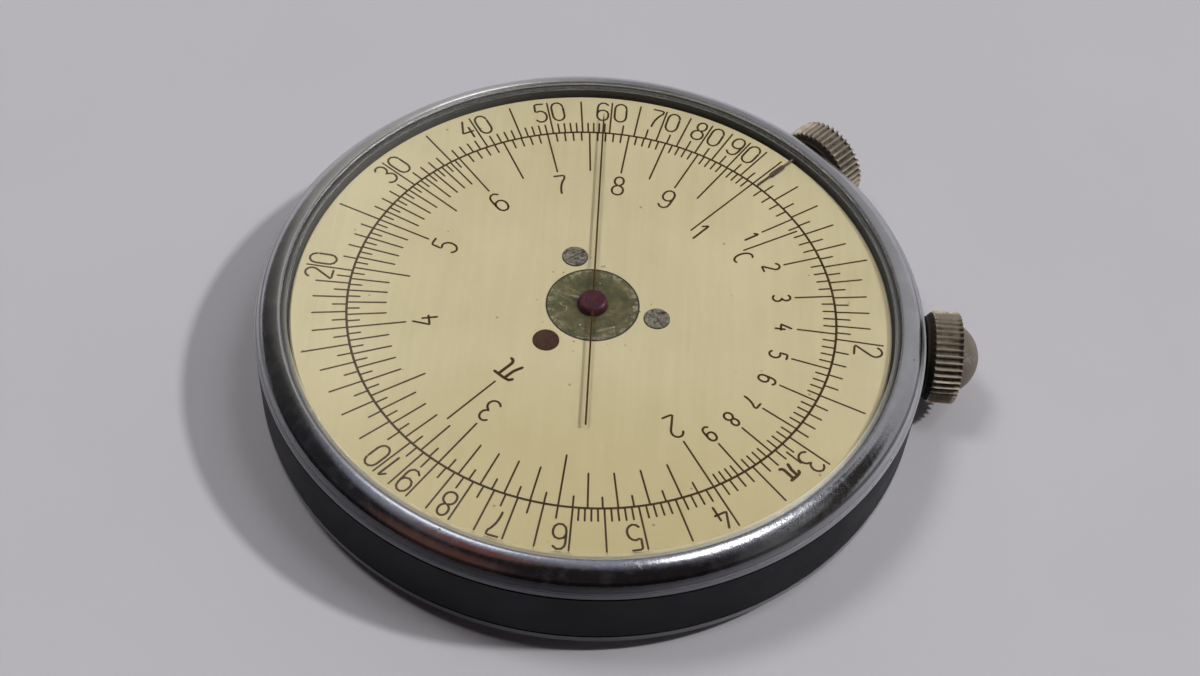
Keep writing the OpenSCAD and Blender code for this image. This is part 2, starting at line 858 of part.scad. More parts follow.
case_band();
front_bezel();
front_crystal();
back_bezel();
back_crystal();
index_finger();
base_plate();
plate_screws();
centre_bridge();
bridge_pillars();
bridge_screws();
centre_bush();
arbor_bush();
dial_stem_tube();
hand_stem_tube();
dial_stem_bearing();
hand_stem_bearing();
bearing_screws();
back_dial();
back_dial_screws();
front_dial();
dial_hub();
dial_wheel();
dial_screws();
hand_arbor();
hand_wheel();
front_hand();
front_hand_boss();
back_hand();
back_hand_boss();
dial_crown_head();
dial_crown_dot();
dial_stem();
dial_pinion();
hand_crown_head();
hand_crown_dot();
hand_stem();
hand_pinion();
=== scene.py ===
import json
import math

import bmesh
import bpy
import numpy as np
from mathutils import Matrix, Vector


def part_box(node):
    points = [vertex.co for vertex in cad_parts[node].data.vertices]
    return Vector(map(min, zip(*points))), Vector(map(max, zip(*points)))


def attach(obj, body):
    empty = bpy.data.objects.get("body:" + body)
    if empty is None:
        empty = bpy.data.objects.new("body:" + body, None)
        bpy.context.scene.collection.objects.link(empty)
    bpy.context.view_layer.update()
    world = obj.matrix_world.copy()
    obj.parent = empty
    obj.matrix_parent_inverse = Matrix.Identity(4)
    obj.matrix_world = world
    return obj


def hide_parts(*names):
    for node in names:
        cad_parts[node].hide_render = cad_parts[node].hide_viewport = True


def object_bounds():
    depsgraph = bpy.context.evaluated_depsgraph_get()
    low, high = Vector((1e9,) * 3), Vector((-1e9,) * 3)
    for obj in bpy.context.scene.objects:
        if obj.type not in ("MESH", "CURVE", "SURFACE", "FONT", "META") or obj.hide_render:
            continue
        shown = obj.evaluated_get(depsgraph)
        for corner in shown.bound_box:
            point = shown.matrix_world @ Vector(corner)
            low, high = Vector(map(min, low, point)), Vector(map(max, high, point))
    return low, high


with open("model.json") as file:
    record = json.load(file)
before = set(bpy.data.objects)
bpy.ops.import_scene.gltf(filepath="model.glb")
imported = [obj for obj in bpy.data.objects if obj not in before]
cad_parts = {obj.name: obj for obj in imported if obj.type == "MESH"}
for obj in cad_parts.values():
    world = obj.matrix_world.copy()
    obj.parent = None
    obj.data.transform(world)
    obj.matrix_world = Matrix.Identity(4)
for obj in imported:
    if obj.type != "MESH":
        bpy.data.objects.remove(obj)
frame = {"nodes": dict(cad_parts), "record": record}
cad_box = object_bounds()
mm = 0.001

# The viewpoint: a phone held above the near edge of the case and turned a little to one side.
# Place, aim and lens are those at which the photograph's scale lines fall on the model's.
camera_place = Vector((0, -92.24, 116.55)) * mm
camera_aim = Vector((0.738, -3.416, 8)) * mm
camera_roll = math.radians(4.42)
camera = bpy.data.objects.new("camera", bpy.data.cameras.new("camera"))
camera.data.sensor_width = 36
camera.data.lens = 55.12
camera.data.clip_start = mm
camera.data.clip_end = 20
aimed = (camera_aim - camera_place).to_track_quat("-Z", "Y").to_matrix().to_4x4()
camera.matrix_world = Matrix.Translation(camera_place) @ aimed @ Matrix.Rotation(camera_roll, 4, "Z")
bpy.context.scene.collection.objects.link(camera)
bpy.context.scene.camera = camera
bpy.context.scene.view_settings.view_transform = "Standard"

# The case band: one turned ring, satin black outside and a lighter grey on its inner wall, with a ledge
# for the base plate. The bezels press on its two necks, each over a narrow groove, and the stem tubes go
# through bores in its side.
mid = (cad_box[0].z + cad_box[1].z) / 2 / mm
wall_r = 23.5
neck_r = 24.5
case_r = 26
ledge_r = 21
band_half = 2.55
seam_r = 25.7
seam_h = 0.15
neck_half = 3.81
ledge_high = 2.51
ledge_low = 2.11
band_ease = 0.05
bore_r = 1.62
spot_r = 2.22
spot_x = 25.75
bore_from_x = 19
bore_to_x = 27
bore_steps = 64
dial_crown_az = math.radians(47.5)
hand_crown_az = 0
worn_w = 0.12
inside_r = 23.7
outside_r = 24
smooth_turn = 40
merge_gap = 2e-8
sliver_gap = 1e-8


def eased(corners, ease, steps=5):
    """Closed outline with eased corners. At a corner the line leaves one side and joins the next on a
    parabola, corner + ease * ((1 - t)^2 * back + t^2 * ahead), and a point just before and after it on
    each side keeps the sides flat. A corner with no ease is kept as one point."""
    corners = np.asarray(corners, float)
    reach = np.broadcast_to(np.asarray(ease, float), len(corners))[:, None, None]
    back = np.roll(corners, 1, 0) - corners
    ahead = np.roll(corners, -1, 0) - corners
    back /= np.linalg.norm(back, axis=1, keepdims=True)
    ahead /= np.linalg.norm(ahead, axis=1, keepdims=True)
    t = np.linspace(0, 1, steps)
    hold = 1.25
    before = np.concatenate([[hold], (1 - t) ** 2, [0]])[None, :, None]
    after = np.concatenate([[0], t**2, [hold]])[None, :, None]
    line = corners[:, None] + reach * (before * back[:, None] + after * ahead[:, None])
    kept = np.repeat(reach[:, 0] > 0, steps + 2, axis=1)
    kept[:, 0] = True
    return line[kept]


def turned(outline, count=288):
    """Surface of revolution: an outline point (r, z) goes round the axis as (r cos a, r sin a, z)."""
    a = np.linspace(0, 2 * np.pi, count, endpoint=False)
    r, z = np.asarray(outline, float).T[:, :, None]
    return np.stack([r * np.cos(a), r * np.sin(a), z + 0 * a], -1)


def on_stem(grid, az):
    """Lays a shape that was turned about +Z along a stem: its axis runs outward at that azimuth, at
    mid height."""
    side, up, out = np.moveaxis(grid, -1, 0)
    east = out * math.cos(az) - side * math.sin(az)
    north = out * math.sin(az) + side * math.cos(az)
    return np.stack([east, north, up + mid], -1)


def piece(name, verts, faces, coat, marks=None, split=smooth_turn):
    """A mesh object in place: corners given in millimetres, doubles merged, faces outward, smooth where
    it turns less than the split angle. Marks are values at the corners that the material reads by name."""
    mesh = bpy.data.meshes.new(name)
    mesh.from_pydata((np.asarray(verts).reshape(-1, 3) * mm).tolist(), [], np.asarray(faces).tolist())
    for key, values in (marks or {}).items():
        mark = mesh.attributes.new(key, "FLOAT", "POINT")
        mark.data.foreach_set("value", np.ravel(values).astype(np.float32))
    shape = bmesh.new()
    shape.from_mesh(mesh)
    bmesh.ops.remove_doubles(shape, verts=shape.verts, dist=merge_gap)
    bmesh.ops.dissolve_degenerate(shape, edges=shape.edges, dist=sliver_gap)
    bmesh.ops.recalc_face_normals(shape, faces=shape.faces)
    shape.to_mesh(mesh)
    shape.free()
    mesh.shade_smooth()
    mesh.set_sharp_from_angle(angle=math.radians(split))
    if coat:
        mesh.materials.append(coat)
    made = bpy.data.objects.new(name, mesh)
    bpy.context.scene.collection.objects.link(made)
    return made


def skin(name, grid, coat, along=True, marks=None, split=smooth_turn):
    """Quads over a grid of points: each row joins the next, each column the next, and the last column the
    first. With along, the last row joins the first too; without it, the end rows meet in a pole or a
    closed edge."""
    rows, columns = grid.shape[:2]
    index = np.arange(rows * columns).reshape(rows, columns)
    index = np.hstack([index, index[:, :1]])
    if along:
        index = np.vstack([index, index[:1]])
    quads = np.stack([index[:-1, :-1], index[:-1, 1:], index[1:, 1:], index[1:, :-1]], -1)
    return piece(name, grid, quads.reshape(-1, 4), coat, marks, split)


def cut_out(body, tool):
    """Takes the tool's volume out of the body for good and drops the tool."""
    step = body.modifiers.new("cut", "BOOLEAN")
    step.object = tool
    step.solver = "EXACT"
    step.material_mode = "TRANSFER"
    shape = bpy.data.meshes.new_from_object(body.evaluated_get(bpy.context.evaluated_depsgraph_get()))
    shape.set_sharp_from_angle(angle=math.radians(smooth_turn))
    body.modifiers.clear()
    body.data = shape
    bpy.data.objects.remove(tool)


def srgb(red, green, blue):
    """A colour as it looks on screen, 0 to 255, as the linear colour that a socket takes."""
    shade = (np.array([red, green, blue]) / 255 + 0.055) / 1.055
    return (*(shade**2.4).tolist(), 1)


def node(tree, kind, sockets=None, **settings):
    """A shader node with its settings. A socket gets a number, a colour or another node's output."""
    made = tree.nodes.new("ShaderNode" + kind)
    for key, value in settings.items():
        setattr(made, key, value)
    for key, value in (sockets or {}).items():
        if isinstance(value, bpy.types.NodeSocket):
            tree.links.new(value, made.inputs[key])
        else:
            made.inputs[key].default_value = value
    return made


def spread(tree, value, low, high, start=0, end=1):
    """Value from low to high becomes start to end, held at both ends."""
    limits = {"From Min": low, "From Max": high, "To Min": start, "To Max": end}
    return node(tree, "MapRange", {"Value": value, **limits}).outputs[0]


def maths(tree, operation, *values):
    """One arithmetic step on numbers or outputs."""
    return node(tree, "Math", dict(enumerate(values)), operation=operation).outputs[0]


def tint(tree, share, first, second, most=1):
    """First colour where share is 0 and second where it is 1, or no more of the second than most says."""
    if most != 1:
        share = maths(tree, "MULTIPLY", share, most)
    return node(tree, "Mix", {0: share, 6: first, 7: second}, data_type="RGBA").outputs[2]


def noise(tree, place, scale, detail, roughness=0.5):
    """Plain noise about 0.5, with that many finer layers."""
    sockets = {"Vector": place, "Scale": scale, "Detail": detail, "Roughness": roughness}
    return node(tree, "TexNoise", sockets).outputs[0]


def beyond(tree, place, from_r, to_r, start=0, end=1):
    """Start up to one radius about the axis of the case and end past the other, both in millimetres."""
    flat = node(tree, "VectorMath", {0: place, 1: (1, 1, 0)}, operation="MULTIPLY").outputs[0]
    out = node(tree, "VectorMath", {0: flat}, operation="LENGTH").outputs["Value"]
    return spread(tree, out, from_r * mm, to_r * mm, start, end)


def group(name, inputs, output):
    """An empty node group with named number inputs beside its vector, and one value output."""
    tree = bpy.data.node_groups.new(name, "ShaderNodeTree")
    tree.interface.new_socket("Vector", in_out="INPUT", socket_type="NodeSocketVector")
    for key in inputs:
        tree.interface.new_socket(key, in_out="INPUT", socket_type="NodeSocketFloat")
    tree.interface.new_socket(output, in_out="OUTPUT", socket_type="NodeSocketFloat")
    return tree, tree.nodes.new("NodeGroupInput").outputs, tree.nodes.new("NodeGroupOutput").inputs


# Cloudy change of tone over a surface, from 0 to 1
mottle, given, result = group("mottle", ["Scale"], "Tone")
cloud = noise(mottle, given["Vector"], given["Scale"], 4, 0.6)
mottle.links.new(spread(mottle, cloud, 0.3, 0.7), result["Tone"])

# Specks: one round dot in a share of the cells of a cell pattern
speck_edge = 0.12
specks, given, result = group("specks", ["Scale", "Share", "Size"], "Mask")
cells = node(specks, "TexVoronoi", {"Vector": given["Vector"], "Scale": given["Scale"]})
chosen = maths(specks, "LESS_THAN", cells.outputs["Color"], given["Share"])
inside = maths(specks, "SUBTRACT", given["Size"], cells.outputs["Distance"])
dot = spread(specks, inside, 0, speck_edge)
specks.links.new(maths(specks, "MULTIPLY", chosen, dot), result["Mask"])

# Hairline scratches: where three stretched noises cross their middle value, each broken up by a second one
hair_edge = 0.006
hair_stretch = (11, 1, 2)
gap_scale = 0.7
hairlines, given, result = group("hairlines", ["Scale", "Cover", "Width"], "Mask")
layers = []
for swing, shift in ((0.4, 3.7), (1.9, 8.2), (2.7, 5.1)):
    sockets = {"Vector": given["Vector"], "Scale": hair_stretch}
    sockets |= {"Rotation": (0.3, 0.2, swing), "Location": (shift, shift, 0)}
    laid = node(hairlines, "Mapping", sockets, vector_type="TEXTURE").outputs[0]
    wave = noise(hairlines, laid, given["Scale"], 1.5)
    off = maths(hairlines, "ABSOLUTE", maths(hairlines, "SUBTRACT", wave, 0.5))
    line = spread(hairlines, maths(hairlines, "SUBTRACT", given["Width"], off), 0, hair_edge)
    patch = noise(hairlines, laid, maths(hairlines, "MULTIPLY", given["Scale"], gap_scale), 2)
    shown = spread(hairlines, maths(hairlines, "ADD", patch, given["Cover"]), 0.95, 1)
    layers.append(maths(hairlines, "MULTIPLY", line, shown))
crossed = maths(hairlines, "MAXIMUM", layers[0], layers[1])
hairlines.links.new(maths(hairlines, "MAXIMUM", crossed, layers[2]), result["Mask"])


def effect(tree, which, place, **values):
    """One of the shared effects, placed in a material with its own values."""
    made = node(tree, "Group", node_tree=which)
    tree.links.new(place, made.inputs["Vector"])
    for key, value in values.items():
        made.inputs[key].default_value = value
    return made.outputs[0]


def clouded(tree, place, scale, first, second):
    """A cloudy tone, and the colour that it makes between two."""
    tone = effect(tree, mottle, place, Scale=scale)
    return tone, tint(tree, tone, first, second)


def finish(name, **sockets):
    """A material with one shader and its constant sockets. Gives the material, its tree, its shader and
    the object coordinates."""
    made = bpy.data.materials.new(name)
    made.use_nodes = True
    tree = made.node_tree
    shader = tree.nodes["Principled BSDF"]
    for key, value in sockets.items():
        shader.inputs[key.replace("_", " ")].default_value = value
    return made, tree, shader, node(tree, "TexCoord").outputs["Object"]


def feed(tree, shader, **sockets):
    """Links varying colours and values to the shader's sockets."""
    for key, value in sockets.items():
        tree.links.new(value, shader.inputs[key.replace("_", " ")])


def roughen(tree, shader, height, depth):
    """Small relief on a surface: height runs from 0 to 1 over that depth in metres."""
    relief = node(tree, "Bump", {"Height": height, "Distance": depth, "Strength": 1})
    tree.links.new(relief.outputs[0], shader.inputs["Normal"])


band_dark = srgb(9, 9, 14)
band_light = srgb(13, 13, 19)
inside_grey = srgb(84, 83, 82)
dust_grey = srgb(96, 92, 88)
worn_grey = srgb(60, 60, 64)
black, tree, shader, place = finish("satin_black", Specular_IOR_Level=0.11)
tone, shade = clouded(tree, place, 260, band_dark, band_light)
dust = effect(tree, specks, place, Scale=1500, Share=0.05, Size=0.25)
height = node(tree, "SeparateXYZ", {0: place}).outputs["Z"]
rise = maths(tree, "ABSOLUTE", maths(tree, "SUBTRACT", height, mid * mm))
edge = (band_half - seam_h) * mm
worn = effect(tree, mottle, place, Scale=900)
worn = maths(tree, "MULTIPLY", worn, spread(tree, rise, edge - worn_w * mm, edge))
within = beyond(tree, place, outside_r, inside_r)
shade = tint(tree, within, shade, inside_grey)
shade = tint(tree, dust, shade, dust_grey, most=0.25)
shade = tint(tree, worn, shade, worn_grey, most=0.3)
feed(tree, shader, Base_Color=shade, Roughness=spread(tree, tone, 0, 1, 0.38, 0.5))
roughen(tree, shader, noise(tree, place, 9000, 2), 4e-6)

upper = [(case_r, band_half - seam_h), (seam_r, band_half - seam_h), (seam_r, band_half)]
upper += [(neck_r, band_half), (neck_r, neck_half), (wall_r, neck_half)]
lower = [(r, -h) for r, h in reversed(upper)]
under_ledge = [(ledge_r, -ledge_low), (wall_r, -ledge_low)]
over_ledge = [(wall_r, ledge_high), (ledge_r, ledge_high)]
band_outline = eased(under_ledge + lower + upper + over_ledge, band_ease)
band = skin("case_ring", turned(band_outline + [0, mid]), black)
bore = [(0, bore_from_x), (bore_r, bore_from_x), (bore_r, spot_x)]
bore += [(spot_r, spot_x), (spot_r, bore_to_x), (0, bore_to_x)]
for az in (dial_crown_az, hand_crown_az):
    cut_out(band, skin("bore", on_stem(turned(bore, bore_steps), az), None, along=False))
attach(band, "case")
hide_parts("case_band")

# The movement between the dials: brass plate, bridge, bushes, bearings and face wheels, with steel screws
# and stems. It is screwed to the ledge from the back, and none of it shows until the case is opened.
parts = frame["nodes"]


def dress(name, coat):
    """Gives a piece of the frame its material."""
    parts[name].data.materials.clear()
    parts[name].data.materials.append(coat)


def marked(tree, name):
    """The value that a mesh carries at its corners under that name."""
    return node(tree, "Attribute", attribute_name=name).outputs["Fac"]


brass_bright = srgb(188, 156, 84)
brass_dull = srgb(150, 122, 66)
brass, tree, shader, place = finish("turned_brass", Metallic=1)
_, shade = clouded(tree, place, 350, brass_bright, brass_dull)
turning = noise(tree, place, 2600, 2)
feed(tree, shader, Base_Color=shade, Roughness=spread(tree, turning, 0.3, 0.7, 0.22, 0.42))
roughen(tree, shader, turning, 5e-6)

steel_light = srgb(168, 161, 147)
steel_dull = srgb(112, 105, 94)
steel_stain = srgb(52, 47, 40)
steel_scratch = srgb(196, 194, 187)
steel_grime_and_shade = srgb(42, 36, 28)
steel, tree, shader, place = finish("dull_steel", Metallic=1)
tone, shade = clouded(tree, place, 900, steel_light, steel_dull)
spot = effect(tree, mottle, place, Scale=3400)
lines = effect(tree, hairlines, place, Scale=2600, Cover=0.5, Width=0.014)
# Where a mesh marks it, the steel is darkened and dulled by grime and by painted shade in gaps.
grime_and_shade = marked(tree, "grime_and_shade")
shade = tint(tree, spread(tree, spot, 0.5, 0.8, 0, 0.85), shade, steel_stain)
shade = tint(tree, lines, shade, steel_scratch, most=0.5)
shade = tint(tree, grime_and_shade, shade, steel_grime_and_shade)
feed(tree, shader, Base_Color=shade, Metallic=spread(tree, grime_and_shade, 0, 1, 1, 0.15))
feed(tree, shader, Roughness=spread(tree, tone, 0, 1, 0.3, 0.5))
roughen(tree, shader, noise(tree, place, 5200, 3), 1e-5)

for row in frame["record"]["subparts"]:
    metal = {"brass": brass, "steel": steel}.get(row["material_slot"])
    if metal:
        dress(row["node"], metal)

# The dials: brass discs under cream lacquer, with the scales cut in and filled with dark paint.
# The front one is screwed to the turning hub, and the back one is screwed to the base plate.
crumbs_r = 6
crumbs_full_r = 3.7
shade_from_y = -6
shade_to_y = -22
cream_light = srgb(204, 192, 155)
cream_dull = srgb(193, 181, 143)
cream_streak = srgb(212, 201, 168)
cream_shaded = srgb(178, 163, 116)
dirt_brown = srgb(116, 92, 58)
crumb_brown = srgb(126, 100, 62)
grit_brown = srgb(92, 76, 50)
cream, tree, shader, place = finish("cream_lacquer", Specular_IOR_Level=0.4)
_, shade = clouded(tree, place, 110, cream_light, cream_dull)
stretched = node(tree, "Mapping", {"Vector": place, "Scale": (1, 0.06, 1)}).outputs[0]
streak = noise(tree, stretched, 1900, 3)
dirt = effect(tree, specks, place, Scale=1500, Share=0.1, Size=0.22)
grit = effect(tree, specks, place, Scale=2600, Share=0.05, Size=0.3)
crumbs = effect(tree, specks, place, Scale=2300, Share=0.3, Size=0.26)
by_hub = beyond(tree, place, crumbs_r, crumbs_full_r, 0, 0.9)
# Towards the near side of the case the lacquer is painted darker and browner: a painted shade.
near = node(tree, "SeparateXYZ", {0: place}).outputs["Y"]
near = spread(tree, near, shade_from_y * mm, shade_to_y * mm, 0, 0.7)
shade = tint(tree, spread(tree, streak, 0.35, 0.65, 0, 0.3), shade, cream_streak)
shade = tint(tree, near, shade, cream_shaded)
shade = tint(tree, dirt, shade, dirt_brown, most=0.65)
shade = tint(tree, maths(tree, "MULTIPLY", crumbs, by_hub), shade, crumb_brown)
shade = tint(tree, grit, shade, grit_brown, most=0.4)
feed(tree, shader, Base_Color=shade, Roughness=spread(tree, streak, 0.3, 0.7, 0.42, 0.58))
roughen(tree, shader, streak, 3e-6)
for name in ("front_dial", "back_dial"):
    dress(name, cream)

ink_dark = srgb(50, 36, 19)
ink_warm = srgb(60, 41, 20)
ink_worn = srgb(70, 51, 28)
ink, tree, shader, place = finish("engraved_ink", Roughness=0.65, Specular_IOR_Level=0.1)
tone = effect(tree, mottle, place, Scale=700)
_, shade = clouded(tree, place, 60, ink_dark, ink_warm)
feed(tree, shader, Base_Color=tint(tree, tone, shade, ink_worn))
roughen(tree, shader, tone, 4e-6)

scale_az = 48.88
circle_r = 18.96
ink_lift = 0.012
ink_sink = 0.01
ink_top = 0.75
tick_w = 0.17
digit_w = 0.21
pi_w = 0.29
sign_bends = 16
arc_points = 15
slim = 0.88
circle_w = 0.23


def strokes(lines, width, bends, face, side):
    """Flat paint strokes along lines in the dial's plane. Across, a stroke is a low trapezium; along it,
    the half width follows half a circle at each end, which rounds the ends. Gives corners and quads."""
    tip = np.radians([12, 45, 90])
    near = width / 2 * (1 - np.cos(tip))
    swell = np.concatenate([np.sin(tip), np.ones(bends), np.sin(tip)[::-1]])
    laid = []
    for line in lines:
        run = np.concatenate([[0], np.cumsum(np.hypot(*np.diff(line, axis=0).T))])
        inner = np.linspace(width / 2, run[-1] - width / 2, bends + 2)[1:-1]
        stops = np.concatenate([near, inner, run[-1] - near[::-1]])
        laid.append(np.column_stack([np.interp(stops, run, line[:, 0]), np.interp(stops, run, line[:, 1])]))
    path = np.array(laid)
    ahead = np.gradient(path, axis=1)
    ahead /= np.linalg.norm(ahead, axis=2, keepdims=True)
    across = np.stack([-ahead[..., 1], ahead[..., 0]], -1) * (swell * width / 2)[None, :, None]
    lanes = np.array([1, ink_top, -ink_top, -1])[None, None, :, None]
    plan = path[:, :, None] + across[:, :, None] * lanes
    height = face + side * np.array([-ink_sink, ink_lift, ink_lift, -ink_sink])
    corners = np.concatenate([plan, np.broadcast_to(height[:, None], plan.shape[:3] + (1,))], -1)
    count, stations = plan.shape[:2]
    index = np.arange(count * stations * 4).reshape(count, stations, 4)
    beside = np.roll(index, -1, axis=2)
    sides = np.stack([index[:, :-1], beside[:, :-1], beside[:, 1:], index[:, 1:]], -1).reshape(-1, 4)
    return corners.reshape(-1, 3), np.concatenate([sides, index[:, 0], index[:, -1]])


def arc(x, y, wide, high, start, end):
    """Points on part of an ellipse, from start to end in degrees."""
    a = np.radians(np.linspace(start, end, arc_points))
    return np.column_stack([x + wide * np.cos(a), y + high * np.sin(a)])


def joined(*pieces):
    """One line through several pieces, each an array or a list of points."""
    return np.vstack([np.asarray(p, float) for p in pieces])


# The numerals of the engraver's single-stroke hand, one unit tall about their middle
six = joined(
    arc(0, 0.24, 0.25, 0.26, 25, 180),
    arc(0, -0.24, 0.25, 0.26, 180, 360),
    arc(0, -0.13, 0.25, 0.22, 0, 180),
)
hand = {
    "0": [joined(arc(0, 0.23, 0.26, 0.27, 0, 180), arc(0, -0.23, 0.26, 0.27, 180, 360), [(0.26, 0.23)])],
    "1": [joined([(-0.17, 0.26), (0.05, 0.5)]), joined([(0.05, 0.5), (0.05, -0.5)])],
    "2": [joined(arc(0, 0.25, 0.25, 0.25, 170, -25), [(-0.25, -0.5), (0.27, -0.5)])],
    "3": [joined(arc(-0.02, 0.25, 0.24, 0.25, 155, -90), arc(-0.02, -0.25, 0.27, 0.25, 90, -155))],
    "4": [joined([(0.02, 0.5), (-0.26, -0.14), (0.28, -0.14)]), joined([(0.12, 0.14), (0.12, -0.5)])],
    "5": [joined([(0.22, 0.5), (-0.2, 0.5), (-0.22, 0.06)], arc(-0.01, -0.19, 0.27, 0.31, 130, -150))],
    "6": [six],
    "7": [joined([(-0.25, 0.5), (0.25, 0.5)], arc(0.62, -0.5, 0.68, 1.0, 123, 180))],
    "8": [arc(0, 0.26, 0.21, 0.24, -90, 270), arc(0, -0.24, 0.26, 0.26, 90, 450)],
    "9": [-six],
    "pi": [
        joined([(-0.48, 0.16), (-0.36, 0.34), (-0.12, 0.38), (0.48, 0.4)]),
        joined([(-0.14, 0.36), (-0.17, -0.1), (-0.32, -0.5)]),
        joined([(0.2, 0.38)], arc(0.36, -0.28, 0.18, 0.2, 180, 300)),
    ],
    "C": [arc(0.04, 0, 0.32, 0.5, 55, 305)],
}


def written(signs, side):
    """Places signs on a dial: each is (sign, radius, azimuth in degrees, height, shift along the reading
    direction). The sign's top points outward and it reads clockwise as seen from its own side."""
    lines = []
    for sign, radius, az, tall, shift in signs:
        out = np.array([math.cos(math.radians(az)), math.sin(math.radians(az))])
        read = side * np.array([out[1], -out[0]])
        for line in hand[sign]:
            along = line[:, :1] * tall * slim + shift
            lines.append(line[:, 1:] * tall * out + along * read + radius * out)
    return lines


def rays(azimuths, starts, ends):
    """Straight tick lines along the radius, one for each azimuth in degrees."""
    a = np.radians(np.asarray(azimuths, float))
    out = np.column_stack([np.cos(a), np.sin(a)])
    starts = np.broadcast_to(np.asarray(starts, float), len(a))[:, None]
    ends = np.broadcast_to(np.asarray(ends, float), len(a))[:, None]
    return list(np.stack([out * starts, out * ends], 1))


def graduated(az, first, per_unit, count, start, short, *longer):
    """Ticks from the first value on, so many per unit. Longer says (every so many ticks, their end)."""
    k = np.arange(count)
    ends = np.full(count, short)
    for every, end in longer:
        ends[k % every == 0] = end
    return rays(az(first + k / per_unit), start, ends)


def print_dial(name, body, face, side, ticks, signs, circles):
    """One piece with all of a dial's ticks and numerals, and one ring for each printed circle."""
    flat = strokes(ticks, tick_w, 0, face, side)
    curved = strokes(written([s for s in signs if s[0] != "pi"], side), digit_w, sign_bends, face, side)
    corners = np.concatenate([flat[0], curved[0]])
    marks = [piece(name, corners, np.concatenate([flat[1], curved[1] + len(flat[0])]), ink)]
    bold = written([s for s in signs if s[0] == "pi"], side)
    if bold:
        marks.append(piece(f"{name}_pi", *strokes(bold, pi_w, sign_bends, face, side), ink))
    rings = []
    for i, r in enumerate(circles):
        ends = [(r - circle_w / 2, -ink_sink), (r - circle_w / 3, ink_lift), (r + circle_w / 3, ink_lift)]
        section = np.array([*ends, (r + circle_w / 2, -ink_sink)]) * [1, side] + [0, face]
        rings.append(skin(f"{name}_circle_{i + 1}", turned(section), ink))
    for made in marks + rings:
        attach(made, body)


# Front scales: 1 to 10 in one turn inside the circle, and 1 to 100 in one turn outside it
face_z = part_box("front_dial")[1].z / mm
inner_short, inner_medium, inner_long, inner_start = 17.93, 15.88, 14.43, 11.3
outer_short, outer_medium, outer_long = 20.1, 21.65, 22.68
c_value = 1.128
c_line = (18.58, 13.5)
pi_line = (15.66, 10.6)
outer_pi_line = (19.6, 21.1)
inner_r, inner_h = 13.0, 2.05
tenth_r, tenth_h = 14.87, 1.4
outer_r, outer_h = 21.5, 2.15
unit_shift, one_shift, tens_shift, nought_shift = 0.75, -0.55, -0.72, 0.78


def inner_az(value):
    """One turn of the dial for each tenfold, clockwise."""
    return scale_az - 360 * np.log10(value)


def outer_az(value):
    """Half a turn of the dial for each tenfold, clockwise."""
    return scale_az - 180 * np.log10(value)


base = (circle_r, inner_short)
front_ticks = graduated(inner_az, 1, 50, 50, *base, (5, inner_medium), (50, inner_start))
front_ticks += graduated(inner_az, 2, 20, 80, *base, (2, inner_medium), (10, inner_long))
front_ticks += graduated(inner_az, 6, 10, 40, *base, (5, inner_long))
base = (circle_r, outer_short)
for decade in (1, 10):
    middles = [(2, outer_medium), (10, outer_long)]
    front_ticks += graduated(outer_az, decade, 20 / decade, 20, *base, *middles)
    front_ticks += graduated(outer_az, 2 * decade, 10 / decade, 40, *base, (5, outer_long))
    front_ticks += graduated(outer_az, 6 * decade, 4 / decade, 16, *base, (2, outer_long))
front_ticks += rays(inner_az([c_value]), *c_line)
front_ticks += rays(inner_az([math.pi]), *pi_line)
front_ticks += rays(outer_az([math.pi]), *outer_pi_line)

digits = np.arange(2, 10)
front_signs = [("1", 11.77, scale_az, 2.0, 0.62), ("C", 13.15, 27.2, 1.6, 0)]
front_signs += [("pi", 9.2, inner_az(math.pi), 2.0, 0), ("pi", 21.05, -43.8, 1.4, 0)]
front_signs += [(str(d), inner_r, inner_az(d), inner_h, 0) for d in digits]
front_signs += [(str(d), tenth_r, inner_az(1 + d / 10), tenth_h, 0) for d in range(1, 10)]
front_signs += [(str(d), outer_r, outer_az(d), outer_h, unit_shift) for d in digits]
front_signs += [("1", outer_r, outer_az(10), outer_h, one_shift)]
front_signs += [("0", outer_r, outer_az(10), outer_h, nought_shift)]
front_signs += [(str(d), outer_r, outer_az(10 * d), outer_h, tens_shift) for d in digits]
front_signs += [("0", outer_r, outer_az(10 * d), outer_h, nought_shift) for d in digits]
print_dial("front_scales", "dial", face_z, 1, front_ticks, front_signs, [circle_r])

# Back scales: 1 to 10 in one turn outside, sines from 6 to 90 degrees inside it, tangents to 45 degrees
# further in
back_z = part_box("back_dial")[0].z / mm
back_circle_r, sine_r, tangent_r = circle_r + 0.6, 18.2, 12.6
back_short, back_medium, back_long = 20.6, 21.4, 22.4
sine_short, sine_long = 17.1, 16.2
tangent_short, tangent_long = 11.7, 10.8
back_digit_r, back_digit_h, back_shift = 21.6, 1.8, 0.7
sine_digit_r, sine_digit_h = 15.3, 1.25
tangent_digit_r, tangent_digit_h = 9.95, 1.2
digit_step = 0.72


def back_az(value):
    """The back is read from behind, so values run the other way round here."""
    return 90 + 360 * np.log10(value)


def number(value, radius, az, tall):
    """The digits of a whole number, side by side about its azimuth."""
    text = str(value)
    first = (len(text) - 1) / 2
    return [(d, radius, az, tall, (i - first) * digit_step * tall) for i, d in enumerate(text)]


base = (back_circle_r, back_short)
back_ticks = graduated(back_az, 1, 50, 50, *base, (5, back_long))
back_ticks += graduated(back_az, 2, 20, 160, *base, (2, back_medium), (10, back_long))
angle = np.concatenate([np.arange(6, 20, 0.5), np.arange(20, 60, 1), [60, 65, 70, 80, 90]])
long = (angle % 5 == 0) | ((angle < 10) & (angle % 1 == 0))
back_ticks += rays(back_az(10 * np.sin(np.radians(angle))), sine_r, np.where(long, sine_long, sine_short))
angle = np.arange(6, 45.5, 0.5)
long = (angle % 5 == 0) | ((angle < 10) & (angle % 1 == 0))
ends = np.where(long, tangent_long, tangent_short)
back_ticks += rays(back_az(10 * np.tan(np.radians(angle))), tangent_r, ends)

